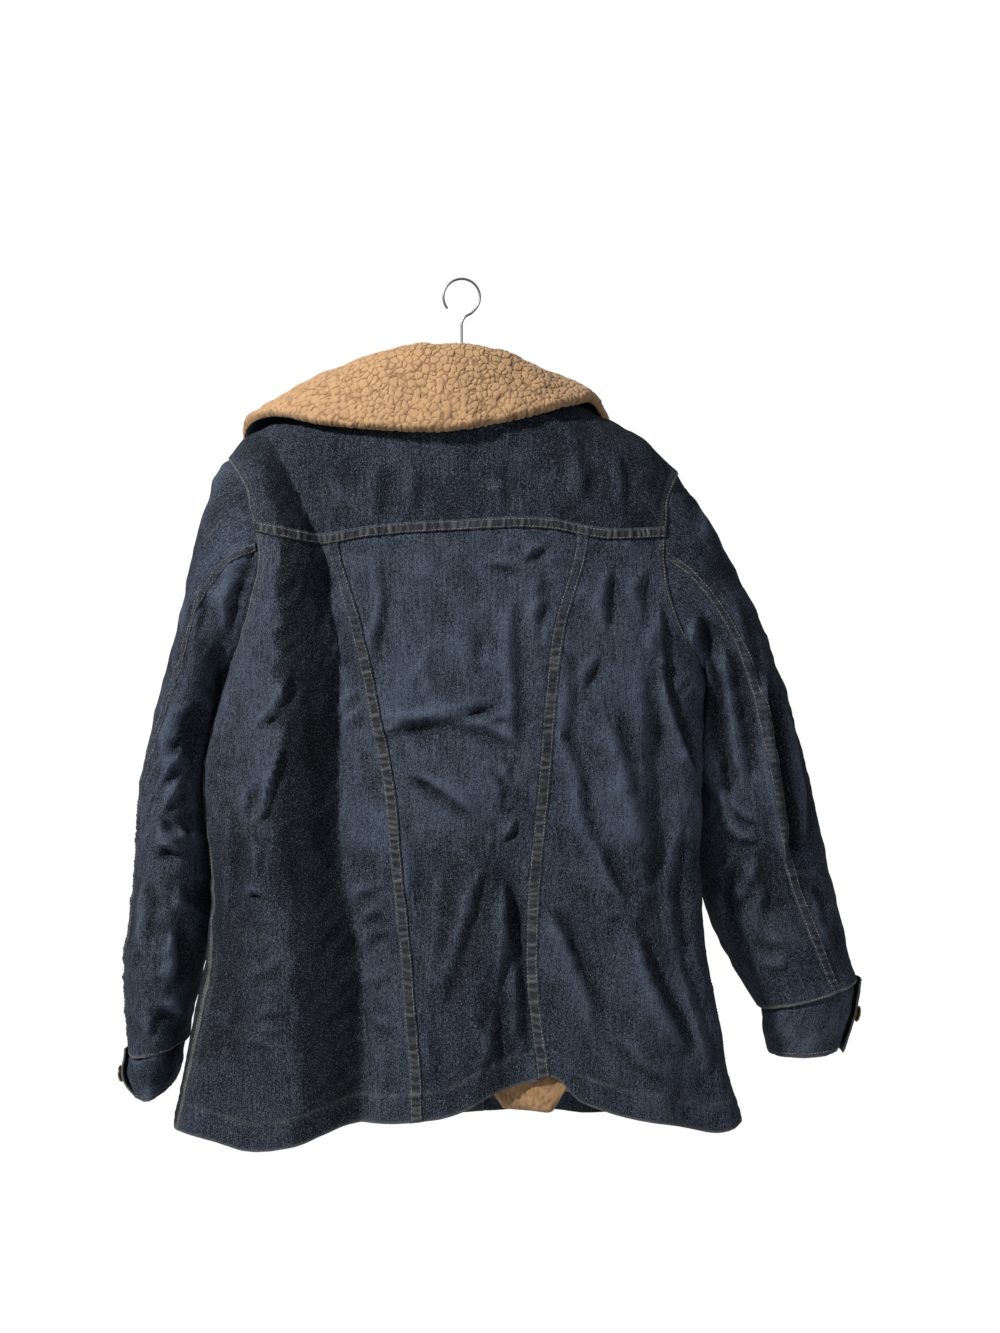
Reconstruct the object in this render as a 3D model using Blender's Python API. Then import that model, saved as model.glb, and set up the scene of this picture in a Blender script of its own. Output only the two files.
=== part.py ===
"""A sherpa-lined denim coat that hangs, buttoned, on a wire hanger.

The frame is +Z up. The coat's front faces -Y and the wearer's left side is at +X. The origin is the inside
top of the hanger's hook. Sizes and tables are in millimetres, and the meshes are made in metres.
"""

import math

import bpy
import numpy as np

MM = 0.001

# Cloth and gaps
DENIM = 1.6  # one layer of denim
HEM_TURN = 1.2  # the hem's turned-up layer, pressed flat
SHERPA = 5.5  # the body lining's pile and backing
COLLAR_SHERPA = 8.0  # the collar's pile and backing
CUFF_WALL = 2.4  # the cuff, doubled denim
LAP_RISE = 1.0  # how far a folded, double-stitched seam stands out
SEAM_GAP = 0.4  # between neighbouring pieces
LAYER_GAP = 0.4  # between layers
LAP_HALF = 6.5  # half the width of a folded seam
YOKE_LAP = 11.0  # height of the folded seam along the yoke
HEM_DEPTH = 28.0  # from the hem's fold to its stitching
LINING_OUT = -(DENIM + HEM_TURN + 4 * LAYER_GAP)  # the lining's denim side, from the coat's outer face
LINING_IN = LINING_OUT - SHERPA

# Body: height, the two side edges, and how deep the back and the front bulge
BODY = (
    # z, left x, right x, back y, front y
    (-900, 300, -292, 75, 71),
    (-862, 293, -287, 74, 70),
    (-800, 275, -270, 72, 68),
    (-745, 256, -260, 70, 66),
    (-690, 247, -251, 68, 63),
    (-600, 249, -244, 66, 60),
    (-508, 256, -246, 66, 60),
    (-460, 250, -247, 67, 61),
    (-400, 240, -248, 68, 62),
    (-300, 246, -247, 68, 62),
    (-180, 250, -245, 66, 62),
    (-60, 250, -245, 66, 62),
)
ROUNDNESS = 2.6  # 2 is an ellipse; more is boxier
YOKE_HEIGHT, BACK_LENGTH, FRONT_LENGTH = 150.0, 580.0, 700.0  # of the panels, roughly
ARM_RADIUS = 50.0  # roughly
RIDGE_Y = -5.0  # the shoulder seam, just in front of the middle
SHOULDER_ROUND = 75.0  # how far below the shoulder line the cloth reaches its full depth

# Shoulder line: x, height. Between the neck points it only carries the curve on.
SHOULDER = (
    (-250, -236), (-221, -198), (-206, -181), (-190, -165), (-174, -154.5), (-137, -136.5),
    (-78, -107), (0, -70), (82, -104), (150, -131), (200, -151), (223, -164), (240, -183), (252, -200),
)  # fmt: skip
RIDGE_DROP = 0.0008  # keeps the back and the front apart at the shoulder seams
NECK_MID, NECK_HALF = 2.0, 80.0
NECK_BACK = 60.0  # the neck hole's reach behind the shoulder seams
NECK_BACK_Z = -110.0  # about where the neck seam lies on the back
NECK_FRONT_Z = -205.0  # the neckline's lowest point, at the centre front
UNDERARM_Z = -400.0

# Armholes: height, x of the seam
ARMHOLE_LEFT = (
    (-400, 240), (-378, 226), (-352, 216), (-325, 208), (-290, 200),
    (-260, 203), (-240, 208), (-218, 214), (-202, 223.5), (-183, 240),
)  # fmt: skip
ARMHOLE_RIGHT = (
    (-400, -248), (-378, -235), (-358, -222), (-337, -213), (-317, -206.5),
    (-300, -204.5), (-265, -205), (-232, -208), (-216.5, -213), (-198, -221),
)  # fmt: skip
ARMHOLE_FRONT_INSET = 6.0  # the front is this much narrower at mid armhole

# Seams of the back: height, x of the left and of the right long seam. Above the yoke they run to the neck
# points.
LONG_SEAMS = (
    # z, left x, right x
    (-870, 42, -87),
    (-800, 44, -82),
    (-720, 51, -72),
    (-620, 60, -73),
    (-520, 70, -82),
    (-430, 87, -89.5),
    (-362, 102, -97),
    (-268, 127, -121),
    (-104, 82, -78),
)
YOKE_SEAM = ((-210, -267), (-143, -270), (-86, -260.5), (0, -262), (93, -268), (141, -274), (210, -261))
HEM_BACK = (
    (-292, -857), (-262, -863), (-208, -849), (-143, -834), (-113, -820), (-95, -801), (-70, -806),
    (-28, -819), (5, -836), (67, -848), (110, -849), (164, -866), (215, -875), (262, -866), (300, -862),
)  # fmt: skip
HEM_FRONT = ((-292, -857), (-200, -868), (-100, -868), (-20, -871), (100, -873), (200, -872), (300, -862))
LINING_HEM_BACK, LINING_HEM_FRONT = -838.0, -845.0
SIDE_SEAM_LEFT = ((-870, 25), (-600, 8), (-400, 0))  # height, y
SIDE_SEAM_RIGHT = ((-870, -6), (-600, -3), (-400, 0))
FRONT_OVERLAP = 22.0  # each front runs this far past the middle
OVERLAP_RISE = DENIM + 2 * LAYER_GAP  # the right front lies on the left one
LINING_NECK_DROP = 9.0  # the lining stops this far below the neck seam

# Folds: where one starts and ends, its half width, its height (a trough is negative) and its sideways bow.
BACK_FOLDS = (
    # x, z from, x, z to, half width, height, bow
    (212, -190, 196, -420, 30, 11, 0),
    (198, -360, 172, -980, 32, 12, -6),
    (176, -195, 156, -330, 26, -11, 0),
    (158, -270, 116, -980, 27, -15, 8),
    (-22, -560, -6, -980, 26, 7, 0),
    (-52, -540, -60, -980, 22, -8, 0),
    (-150, -420, -205, -980, 30, 6, 4),
    (-190, -420, -250, -980, 24, -8, 6),
    (232, -640, 240, -980, 22, -7, 0),
)
FRONT_FOLDS = (
    (-165, -205, -150, -520, 26, -9, 4),
    (-120, -420, -128, -980, 28, -10, 0),
    (-190, -480, -205, -980, 30, 8, 0),
    (-62, -380, -66, -980, 26, 6, 0),
    (168, -205, 150, -470, 26, -9, -4),
    (132, -520, 140, -980, 28, -11, 0),
    (196, -520, 215, -980, 30, 9, 0),
    (70, -460, 74, -980, 26, 7, 0),
)
FOLD_FADE = 70.0  # length over which a fold's end dies away

# Sleeves: outer edge, inner edge, y of the middle, half depth, and the places of the elbow seam and the
# underarm seam in degrees round the sleeve, from its outer edge over the back. The first row is the
# armhole.
SLEEVE_RIGHT = (
    # outer x, z, inner x, z, y, half depth, elbow, underarm
    (-222, -198, -248, -400, -2, 45, 82, 150),
    (-245, -231, -253, -406, -4, 46, 81, 148),
    (-274, -282, -254, -418, -8, 48, 80, 146),
    (-303, -337, -253, -436, -13, 48, 78, 144),
    (-326, -390, -251, -460, -19, 48, 76, 142),
    (-343, -443, -248, -490, -26, 48, 75, 140),
    (-357, -492, -246, -524, -32, 47, 74, 138),
    (-370, -543, -245, -568, -39, 46, 72, 138),
    (-381, -590, -247, -613, -46, 45, 70, 140),
    (-392, -634, -257, -652, -54, 44, 67, 144),
    (-405, -680, -279, -700, -62, 44, 64, 148),
    (-418, -731, -316, -759, -71, 42, 60, 148),
)
SLEEVE_LEFT = (
    (241, -183, 240, -400, -2, 45, 82, 150),
    (257, -212, 246, -405, -4, 47, 80, 150),
    (269, -252, 249, -413, -6, 50, 78, 148),
    (279, -292, 252, -425, -9, 53, 76, 146),
    (289, -340, 255, -442, -12, 56, 72, 142),
    (302, -390, 259, -464, -15, 58, 66, 138),
    (315, -440, 264, -492, -18, 60, 58, 132),
    (327, -488, 270, -522, -21, 62, 48, 126),
    (335, -540, 268, -560, -24, 64, 36, 118),
    (337, -590, 263, -602, -27, 64, 28, 112),
    (344, -640, 263, -650, -29, 62, 24, 108),
    (351, -690, 276, -698, -31, 61, 22, 106),
    (350, -745, 288, -752, -34, 58, 24, 106),
    (346, -798, 290, -786, -37, 54, 26, 108),
)
CUFF_RIGHT = (
    (-418, -732, -316, -760, -71, 42),
    (-413, -768, -318, -786, -74, 38),
    (-401, -806, -326, -811, -77, 35),
)
CUFF_LEFT = (
    (346, -799, 290, -787, -37, 54),
    (349, -823, 293, -812, -39, 50),
    (336, -844, 301, -836, -40, 46),
)
ARMHOLE_HOLD = (1.0, 0.55, 0.2, 0.04)  # how much of the armhole's own shape the first sections keep
ARMHOLE_GAP = 2.8  # from the body to the sleeve, which meets it along a curve
CUFF_UNDER, CUFF_OVER = -25.0, 375.0  # degrees where the cuff's strip starts below and ends on top
CUFF_LAP = 330.0  # degrees where its end begins to lie on its start
CUFF_LIFT = ((-25, 0), (285, 0), (330, 3.4), (375, 6.5))  # degrees, how far the strip lies out

# Collar: x of the neck seam (+1 on the back, -1 on the front), the fold, and the outer edge
COLLAR = (
    # neck x, side, fold x, y, z, edge x, y, z
    (14, -1, 34, -80, -198, 80, -84, -268),
    (45, -1, 84, -76, -160, 160, -78, -250),
    (74, -1, 122, -48, -122, 214, -58, -202),
    (82, 1, 124, -4, -104, 224, -12, -155),
    (70, 1, 96, 24, -92, 190, 28, -143),
    (44, 1, 58, 46, -85, 128, 62, -158),
    (4, 1, 8, 56, -84, 20, 77, -166),
    (-40, 1, -38, 46, -87, -62, 66, -151),
    (-66, 1, -66, 22, -98, -110, 44, -135),
    (-78, 1, -84, -6, -106, -139, 1, -131),
    (-70, -1, -90, -46, -124, -166, -62, -188),
    (-42, -1, -62, -76, -160, -134, -82, -242),
    (-14, -1, -30, -84, -196, -74, -88, -264),
)
COLLAR_LIFT_FRONT = 3.4  # in front the collar's seam lies on the panel
FOLD_TURN = 9.0  # the collar's roll is about this wide inside
STAND_RISE = 12.0  # how straight up the collar starts from its seam
FOLD_SHARE = 0.3  # the fold's place between the neck seam and the edge

# Hanger
WIRE = 1.2  # radius
HOOK_RADIUS = 18.7
HOOK_CENTRE_Z = -17.5
TWIST_RADIUS, TWIST_TOP = 2.5, -69.0
# The wire's corners before they are rounded
HANGER_TOP_Z, HANGER_LEFT, HANGER_RIGHT = -84.6, (226.0, -175.4), (-210.0, -189.0)

BUTTON = ((4.0, 0.0), (4.0, 1.4), (8.5, 1.9), (8.5, 3.0), (7.2, 4.2))  # radius, height
BUTTON_TOP = 4.6
BUTTON_SIDES = 10
BUTTON_ROWS = 5
FIRST_BUTTON_Z, LAST_BUTTON_Z = -240.0, -760.0

# Mesh
LOWER_ROWS, YOKE_ROWS, FRONT_ROWS = 15, 6, 17
SIDE_COLUMNS, CENTRE_COLUMNS = 5, 6  # besides the margins of the folded seams
ARC_ROWS, UPPER_COLUMNS, UNDER_COLUMNS = 14, 10, 3  # of the sleeves
CUFF_COLUMNS, LAP_COLUMNS = 17, 4
COLLAR_PLACES, STAND_ROWS, FALL_ROWS = 29, 4, 6
HEM_FRONT_COLUMNS, LINING_FRONT_COLUMNS = SIDE_COLUMNS + 3, SIDE_COLUMNS + 4
STEP = 0.4  # for slopes


# ---------------------------------------------------------------- curves


def through(places, values):
    """A smooth function that passes through the values at the places, which rise."""
    places = np.asarray(places, float)
    values = np.asarray(values, float)
    slopes = np.gradient(values, places, axis=0)

    def at(where):
        where = np.clip(np.asarray(where, float), places[0], places[-1])
        k = np.clip(np.searchsorted(places, where, side="right") - 1, 0, len(places) - 2)
        span = places[k + 1] - places[k]
        t = (where - places[k]) / span
        if values.ndim > 1:
            span, t = span[..., None], t[..., None]
        start = (1 + 2 * t) * (1 - t) ** 2 * values[k] + t * (1 - t) ** 2 * span * slopes[k]
        end = t**2 * (3 - 2 * t) * values[k + 1] + t**2 * (t - 1) * span * slopes[k + 1]
        return start + end

    return at


def columns_of(table):
    """The table's first column, and a smooth function of it for each other column."""
    rows = np.asarray(table, float)
    return [through(rows[:, 0], rows[:, k]) for k in range(1, rows.shape[1])]


left_edge, right_edge, back_depth, front_depth = columns_of(BODY)
(shoulder_z,) = columns_of(SHOULDER)
(armhole_left,) = columns_of(ARMHOLE_LEFT)
(armhole_right,) = columns_of(ARMHOLE_RIGHT)
seam_left, seam_right = columns_of(LONG_SEAMS)
(yoke_z,) = columns_of(YOKE_SEAM)
(hem_back_z,) = columns_of(HEM_BACK)
(hem_front_z,) = columns_of(HEM_FRONT)
(side_seam_left_y,) = columns_of(SIDE_SEAM_LEFT)
(side_seam_right_y,) = columns_of(SIDE_SEAM_RIGHT)


def ease(t):
    t = np.clip(t, 0, 1)
    return t * t * (3 - 2 * t)


# ---------------------------------------------------------------- the body's surface


def folds_at(x, z, folds):
    """How far the folds push the cloth out at (x, z)."""
    out = np.zeros(np.broadcast(x, z).shape)
    for x0, z0, x1, z1, half_width, height, bow in folds:
        length = math.hypot(x1 - x0, z1 - z0)
        ux, uz = (x1 - x0) / length, (z1 - z0) / length
        along = (x - x0) * ux + (z - z0) * uz
        t = np.clip(along / length, 0, 1)
        off = (x - x0) * uz - (z - z0) * ux - 4 * bow * t * (1 - t)
        ends = ease(along / FOLD_FADE) * ease((length - along) / FOLD_FADE)
        out = out + height * ends * np.exp(-((off / half_width) ** 2))
    return out


def half_and_mid(z):
    return (left_edge(z) - right_edge(z)) / 2, (left_edge(z) + right_edge(z)) / 2


def body_x(turn, z):
    half, mid = half_and_mid(z)
    c = np.cos(turn)
    return mid + half * np.sign(c) * np.abs(c) ** (2 / ROUNDNESS)


def body(turn, z):
    """The coat's outer face. turn is 0 at the left side, a quarter turn at the back, minus that in front."""
    x = body_x(turn, z)
    s = np.sin(turn)
    depth = np.where(s > 0, back_depth(z), front_depth(z))
    full = depth * np.sign(s) * np.abs(s) ** (2 / ROUNDNESS)
    half, mid = half_and_mid(z)
    flat = 1 - np.abs((x - mid) / half) ** 8
    full = full + flat * np.where(s > 0, folds_at(x, z, BACK_FOLDS), -folds_at(x, z, FRONT_FOLDS))
    rise = np.clip((z - shoulder_z(x)) / SHOULDER_ROUND + 1, 0, 1)
    y = RIDGE_Y * (1 - np.sqrt(1 - rise**2)) + full * np.sqrt(1 - rise**2)
    return np.stack(np.broadcast_arrays(x, y, z), axis=-1)


def turn_at_x(x, z, side):
    """The turn where the back (side 1) or the front (side -1) has this x."""
    half, mid = half_and_mid(z)
    t = np.clip((x - mid) / half, -1, 1)
    return side * np.arccos(np.sign(t) * np.abs(t) ** (ROUNDNESS / 2))


def turn_at_side(y, z):
    """The small turn from a side edge to the point at this y."""
    depth = np.where(y > 0, back_depth(z), front_depth(z))
    return np.sign(y) * np.arcsin(np.clip(np.abs(y) / depth, 0, 1) ** (ROUNDNESS / 2))


def slopes_normal(surface, a, b, step_a, step_b):
    """Unit normals of surface(a, b), from points on both sides."""
    across = surface(a + step_a, b) - surface(a - step_a, b)
    along = surface(a, b + step_b) - surface(a, b - step_b)
    normal = np.cross(across, along)
    return normal / np.maximum(np.linalg.norm(normal, axis=-1, keepdims=True), 1e-9)


def body_normal(turn, z):
    """Pointing out of the coat."""
    below = np.minimum(z, shoulder_z(body_x(turn, z)) - STEP)
    return slopes_normal(body, turn, below, 0.004, STEP)


def neck_back_z(x):
    """The neck seam on the back: an oval in plan, laid on the cloth."""
    u = np.clip((x - NECK_MID) / NECK_HALF, -1, 1)
    half, mid = half_and_mid(NECK_BACK_Z)
    across = np.clip(np.abs((x - mid) / half), 0, 1)
    full = back_depth(NECK_BACK_Z) * (1 - across**ROUNDNESS) ** (1 / ROUNDNESS)
    share = NECK_BACK * np.sqrt(1 - u**2) / (full - RIDGE_Y)
    return shoulder_z(x) - SHOULDER_ROUND * (1 - np.sqrt(1 - np.clip(share, 0, 1) ** 2))


def neck_front_z(x):
    u = np.clip(np.abs(x - NECK_MID) / NECK_HALF, 0, 1)
    side = shoulder_z(NECK_MID + np.sign(x - NECK_MID) * NECK_HALF)
    return NECK_FRONT_Z + (side - NECK_FRONT_Z) * u**2.2


def in_neck(x):
    return np.abs(x - NECK_MID) < NECK_HALF


def top_back(x):
    return np.where(in_neck(x), neck_back_z(x), shoulder_z(x)) - RIDGE_DROP


def top_front(x):
    return np.where(in_neck(x), neck_front_z(x), shoulder_z(x)) - RIDGE_DROP


# ---------------------------------------------------------------- columns of the back and the front


def outer_turn(z, side, left):
    """The outer edge of a panel: the armhole, and below it the side seam. side is 1 on the back."""
    seam = armhole_left(z) if left else armhole_right(z)
    share = np.clip((z - UNDERARM_Z) / (-190 - UNDERARM_Z), 0, 1)
    if side < 0:
        seam = seam - np.sign(seam) * ARMHOLE_FRONT_INSET * np.sin(np.pi * share)
    upper = turn_at_x(seam, z, side)
    low = turn_at_side(side_seam_left_y(z) if left else side_seam_right_y(z), z)
    if not left:
        low = side * np.pi - low
    return np.where(z > UNDERARM_Z, upper, low)


def back_columns(z):
    """Turns of the back's columns, from the wearer's left to the right, with the long seams' margins."""
    marks = [outer_turn(z, 1, True)]
    for seam in (seam_left(z), seam_right(z)):
        marks += [turn_at_x(seam + d, z, 1) for d in (LAP_HALF, 0, -LAP_HALF)]
    marks.append(outer_turn(z, 1, False))
    counts = (SIDE_COLUMNS, 1, 1, CENTRE_COLUMNS, 1, 1, SIDE_COLUMNS)
    return spread(marks, counts)


def front_columns(z, left):
    """Turns of one front's columns, from the side to its edge past the middle."""
    sign = 1 if left else -1
    inner = [sign * d for d in ((96, 44, 30, 0) if left else (94, 46, 28, 0))] + [-sign * FRONT_OVERLAP]
    neck_point = NECK_MID + sign * NECK_HALF
    down = ease((z - NECK_FRONT_Z) / (-104 - NECK_FRONT_Z))
    inner[0] = inner[0] + (neck_point - inner[0]) * down
    marks = [outer_turn(z, -1, left)] + [turn_at_x(x, z, -1) for x in inner]
    return spread(marks, (SIDE_COLUMNS, 2, 1, 1, 1))


def spread(marks, counts):
    """The marks, with evenly spaced columns between them."""
    found = [marks[0]]
    for a, b, count in zip(marks, marks[1:], counts):
        found += [a + (b - a) * (k + 1) / count for k in range(count)]
    return np.stack(np.broadcast_arrays(*found))


def trimmed(turn, z, first=True, last=True):
    """The outer columns moved in by half the gap between pieces."""
    turn = turn.copy()
    across, deep = body_x(turn, z), body(turn, z)[..., 1]
    width = np.abs(np.gradient(across, axis=0)) + np.abs(np.gradient(deep, axis=0))
    share = np.clip(SEAM_GAP / 2 / np.maximum(width, 1.0), 0, 0.4)
    if first:
        turn[0] += (turn[1] - turn[0]) * share[0]
    if last:
        turn[-1] += (turn[-2] - turn[-1]) * share[-1]
    return turn


# ---------------------------------------------------------------- the sleeves' surface


class Sleeve:
    """A sleeve as a surface over degrees round it and rows along it."""

    def __init__(self, table, left):
        rows = np.asarray(table, float)
        self.left = left
        self.rows = len(rows) - 1
        self.section = through(np.arange(len(rows)), rows)
        hold = np.zeros(len(rows))
        hold[: len(ARMHOLE_HOLD)] = ARMHOLE_HOLD
        self.hold = through(np.arange(len(rows)), hold)

    def armhole(self, degrees):
        """The body's armhole at these degrees: 0 is the shoulder, 180 the underarm, 0 to 180 the back."""
        degrees = (degrees + 180) % 360 - 180
        top = self.section(0.0)[1]
        z = (top + UNDERARM_Z) / 2 + (top - UNDERARM_Z) / 2 * np.cos(np.radians(degrees))
        z = np.clip(z, UNDERARM_Z + 0.01, top - 0.01)
        turn = np.where(degrees >= 0, outer_turn(z, 1, self.left), outer_turn(z, -1, self.left))
        return body(turn, z)

    def oval(self, degrees, row):
        ox, oz, ix, iz, y, half_depth = np.moveaxis(self.section(row)[..., :6], -1, 0)
        c, s = np.cos(np.radians(degrees)), np.sin(np.radians(degrees))
        x = (ox + ix) / 2 + (ox - ix) / 2 * c
        z = (oz + iz) / 2 + (oz - iz) / 2 * c
        return np.stack(np.broadcast_arrays(x, y + half_depth * s, z), axis=-1)

    def __call__(self, degrees, row):
        hold = self.hold(row)[..., None]
        start = self.oval(degrees, np.zeros_like(row))
        return self.oval(degrees, row) + hold * (self.armhole(degrees) - start)

    def begin(self, degrees, row):
        """The rows, with the first one just outside the armhole."""
        row = np.broadcast_to(row, degrees.shape).copy()
        first = degrees[:, 0]
        near = self(first, np.full(first.shape, 0.1)) - self(first, np.zeros(first.shape))
        row[:, 0] = ARMHOLE_GAP * 0.1 / np.linalg.norm(near, axis=-1)
        return row

    def normal(self, degrees, row):
        row = np.clip(row, 0.05, self.rows - 0.05)
        normal = slopes_normal(self, degrees, row, 1.0, 0.05)
        return -normal if self.left else normal


class Cuff:
    """A cuff as a surface over degrees round it and 0 to 1 down it. Its end laps over its start."""

    def __init__(self, table, left):
        rows = np.asarray(table, float)
        self.left = left
        self.section = through(np.linspace(0, 1, len(rows)), rows)
        (self.lift,) = columns_of(CUFF_LIFT)

    oval = Sleeve.oval

    def __call__(self, degrees, row):
        return self.oval(degrees, row)

    def normal(self, degrees, row):
        normal = slopes_normal(self, degrees, np.clip(row, 0.03, 0.97), 1.0, 0.03)
        return -normal if self.left else normal


# ---------------------------------------------------------------- the collar's surface


def collar_rows():
    """Neck seam, fold and edge along the collar, as one smooth function of the row."""
    rows = []
    for neck_x, side, *rest in COLLAR:
        z = neck_back_z(neck_x) if side > 0 else neck_front_z(neck_x)
        turn, z = turn_at_x(neck_x, z, side), np.asarray(z, float)
        neck = body(turn, z) + body_normal(turn, z) * (COLLAR_LIFT_FRONT if side < 0 else 0)
        neck[2] += SEAM_GAP
        rows.append([*neck, *rest])
    return through(np.arange(len(rows)), rows)


def collar(place, share):
    """The face between under collar and sherpa. share runs from 0 at the neck seam to 1 at the edge."""
    row = collar_rows_at(place)
    neck, fold, edge = row[..., 0:3], row[..., 3:6], row[..., 6:9]
    out = edge - fold
    out[..., 2] *= 0.15
    out = out / np.maximum(np.linalg.norm(out, axis=-1, keepdims=True), 1e-9)
    up = np.array([0.0, 0.0, 1.0])
    height = np.linalg.norm(fold - neck, axis=-1, keepdims=True)
    stand = (
        neck,
        neck + np.minimum(STAND_RISE, 0.4 * height) * up,
        fold - np.minimum(FOLD_TURN, 0.35 * height) * out,
        fold,
    )
    fall = (fold, fold + 1.3 * FOLD_TURN * out, edge + 0.38 * (fold - edge) + 9 * up + 2 * out, edge)
    s = share[..., None]
    standing, falling = bezier(stand, s / FOLD_SHARE), bezier(fall, (s - FOLD_SHARE) / (1 - FOLD_SHARE))
    return np.where(s < FOLD_SHARE, standing, falling)


def bezier(points, t):
    t = np.clip(t, 0, 1)
    a, b, c, d = points
    return (1 - t) ** 3 * a + 3 * t * (1 - t) ** 2 * b + 3 * t * t * (1 - t) * c + t**3 * d


def collar_normal(place, share):
    """Out of the sherpa's face: into the neck, up at the fold, and away from the coat at the edge."""
    place = np.clip(place, 0.05, len(COLLAR) - 1.05)
    return -slopes_normal(collar, place, np.clip(share, 0.02, 0.98), 0.05, 0.02)


collar_rows_at = collar_rows()


# ---------------------------------------------------------------- meshes


def material(name, colour, roughness, metallic=0.0):
    made = bpy.data.materials.new(name)
    made.use_nodes = True
    shader = made.node_tree.nodes["Principled BSDF"]
    shader.inputs["Base Color"].default_value = (*colour, 1.0)
    shader.inputs["Roughness"].default_value = roughness
    shader.inputs["Metallic"].default_value = metallic
    made.diffuse_color = (*colour, 1.0)
    return made


def add(name, points, faces, look):
    mesh = bpy.data.meshes.new(name)
    mesh.from_pydata((np.asarray(points, float) * MM).tolist(), [], faces)
    mesh.update()
    mesh.shade_smooth()
    mesh.materials.append(look)
    made = bpy.data.objects.new(name, mesh)
    bpy.context.scene.collection.objects.link(made)
    return made


def wall(name, points, normals, outer, inner, look, down=False):
    """A closed wall over a grid, from inner to outer along its normals. Diagonals run up or down the rows."""
    m, n = points.shape[:2]
    outer, inner = (np.broadcast_to(np.asarray(d, float), (m, n))[..., None] for d in (outer, inner))
    both = np.concatenate([(points + normals * depth).reshape(-1, 3) for depth in (outer, inner)])
    ids = np.arange(m * n).reshape(m, n)
    faces = []
    for i in range(m - 1):
        for j in range(n - 1):
            a, b, c, d = ids[i, j], ids[i + 1, j], ids[i + 1, j + 1], ids[i, j + 1]
            halves = [(a, b, d), (b, c, d)] if down else [(a, b, c), (a, c, d)]
            faces += halves + [tuple(k + m * n for k in half[::-1]) for half in halves]
    rim = [*ids[:, 0], *ids[-1, 1:], *ids[-2::-1, -1], *ids[0, -2:0:-1]]
    for a, b in zip(rim, rim[1:] + rim[:1]):
        faces.append((b, a, a + m * n, b + m * n))
    i, j = (m - 1) // 2, (n - 1) // 2
    across = points[i + 1, j] - points[i, j]
    along = points[i, j + 1] - points[i, j]
    if np.dot(np.cross(across, along), normals[i, j]) < 0:
        faces = [face[::-1] for face in faces]
    return add(name, both, [tuple(int(k) for k in face) for face in faces], look)


def tube(name, path, radius, look, sides=6, closed=False):
    """A wire along a path in the plane y = 0. radius is a number, or one for each point."""
    path = np.asarray(path, float)
    radius = np.broadcast_to(np.asarray(radius, float), len(path))
    if closed:
        ahead = np.roll(path, -1, axis=0) - np.roll(path, 1, axis=0)
    else:
        ahead = np.gradient(path, axis=0)
    ahead /= np.linalg.norm(ahead, axis=1, keepdims=True)
    side = np.stack([ahead[:, 2], np.zeros(len(path)), -ahead[:, 0]], axis=1)
    points = []
    for p, r, s in zip(path, radius, side):
        for k in range(sides):
            a = 2 * math.pi * k / sides
            points.append(p + r * (s * math.cos(a) + np.array([0, 1, 0]) * math.sin(a)))
    faces = []
    last = len(path) if closed else len(path) - 1
    for i in range(last):
        j = (i + 1) % len(path)
        for k in range(sides):
            m = (k + 1) % sides
            faces.append((i * sides + k, i * sides + m, j * sides + m, j * sides + k))
    if not closed:
        end = (len(path) - 1) * sides
        faces.append(tuple(range(sides))[::-1])
        faces.append(tuple(end + k for k in range(sides)))
    return add(name, points, faces, look)


def rounded(corners, radii, steps):
    """A closed path in the plane y = 0 with an arc at each corner."""
    path = []
    count = len(corners)
    for i in range(count):
        before, here, after = (np.array(corners[(i + d) % count], float) for d in (-1, 0, 1))
        a = (before - here) / np.linalg.norm(before - here)
        b = (after - here) / np.linalg.norm(after - here)
        half = math.acos(np.dot(a, b)) / 2
        reach = radii[i] / math.tan(half)
        middle = here + (a + b) / np.linalg.norm(a + b) * radii[i] / math.sin(half)
        start, end = here + a * reach - middle, here + b * reach - middle
        swing = math.pi - 2 * half
        for k in range(steps + 1):
            t = k / steps
            p = (start * math.sin((1 - t) * swing) + end * math.sin(t * swing)) / math.sin(swing)
            path.append(middle + p)
    return [(x, 0.0, z) for x, z in path]


def button(name, seat, normal, look):
    """A tack button on its short post, with its axis along the normal."""
    helper = np.array([0.0, 0.0, 1.0]) if abs(normal[2]) < 0.9 else np.array([1.0, 0.0, 0.0])
    u = np.cross(helper, normal)
    u /= np.linalg.norm(u)
    v = np.cross(normal, u)
    points = [seat]
    for radius, height in BUTTON:
        for k in range(BUTTON_SIDES):
            a = 2 * math.pi * k / BUTTON_SIDES
            points.append(seat + normal * height + radius * (u * math.cos(a) + v * math.sin(a)))
    points.append(seat + normal * BUTTON_TOP)
    faces = []
    for k in range(BUTTON_SIDES):
        m = (k + 1) % BUTTON_SIDES
        faces.append((0, 1 + m, 1 + k))
        for ring in range(len(BUTTON) - 1):
            low, high = 1 + ring * BUTTON_SIDES, 1 + (ring + 1) * BUTTON_SIDES
            faces.append((low + k, low + m, high + m, high + k))
        top = 1 + (len(BUTTON) - 1) * BUTTON_SIDES
        faces.append((top + k, top + m, len(points) - 1))
    return add(name, points, faces, look)


# ---------------------------------------------------------------- the pieces


def lower_shares():
    """Shares of the way from hem to yoke seam, the second one at the hem's stitching."""
    stitch = HEM_DEPTH / BACK_LENGTH
    return np.concatenate([[0], np.linspace(stitch, 1, LOWER_ROWS)])


def yoke_shares():
    """The first step is the folded seam; the rest close up towards the rounded shoulder."""
    lap = YOKE_LAP / YOKE_HEIGHT
    return np.concatenate([[0], lap + (1 - lap) * np.sin(np.linspace(0, 1, YOKE_ROWS) * math.pi / 2)])


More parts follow.
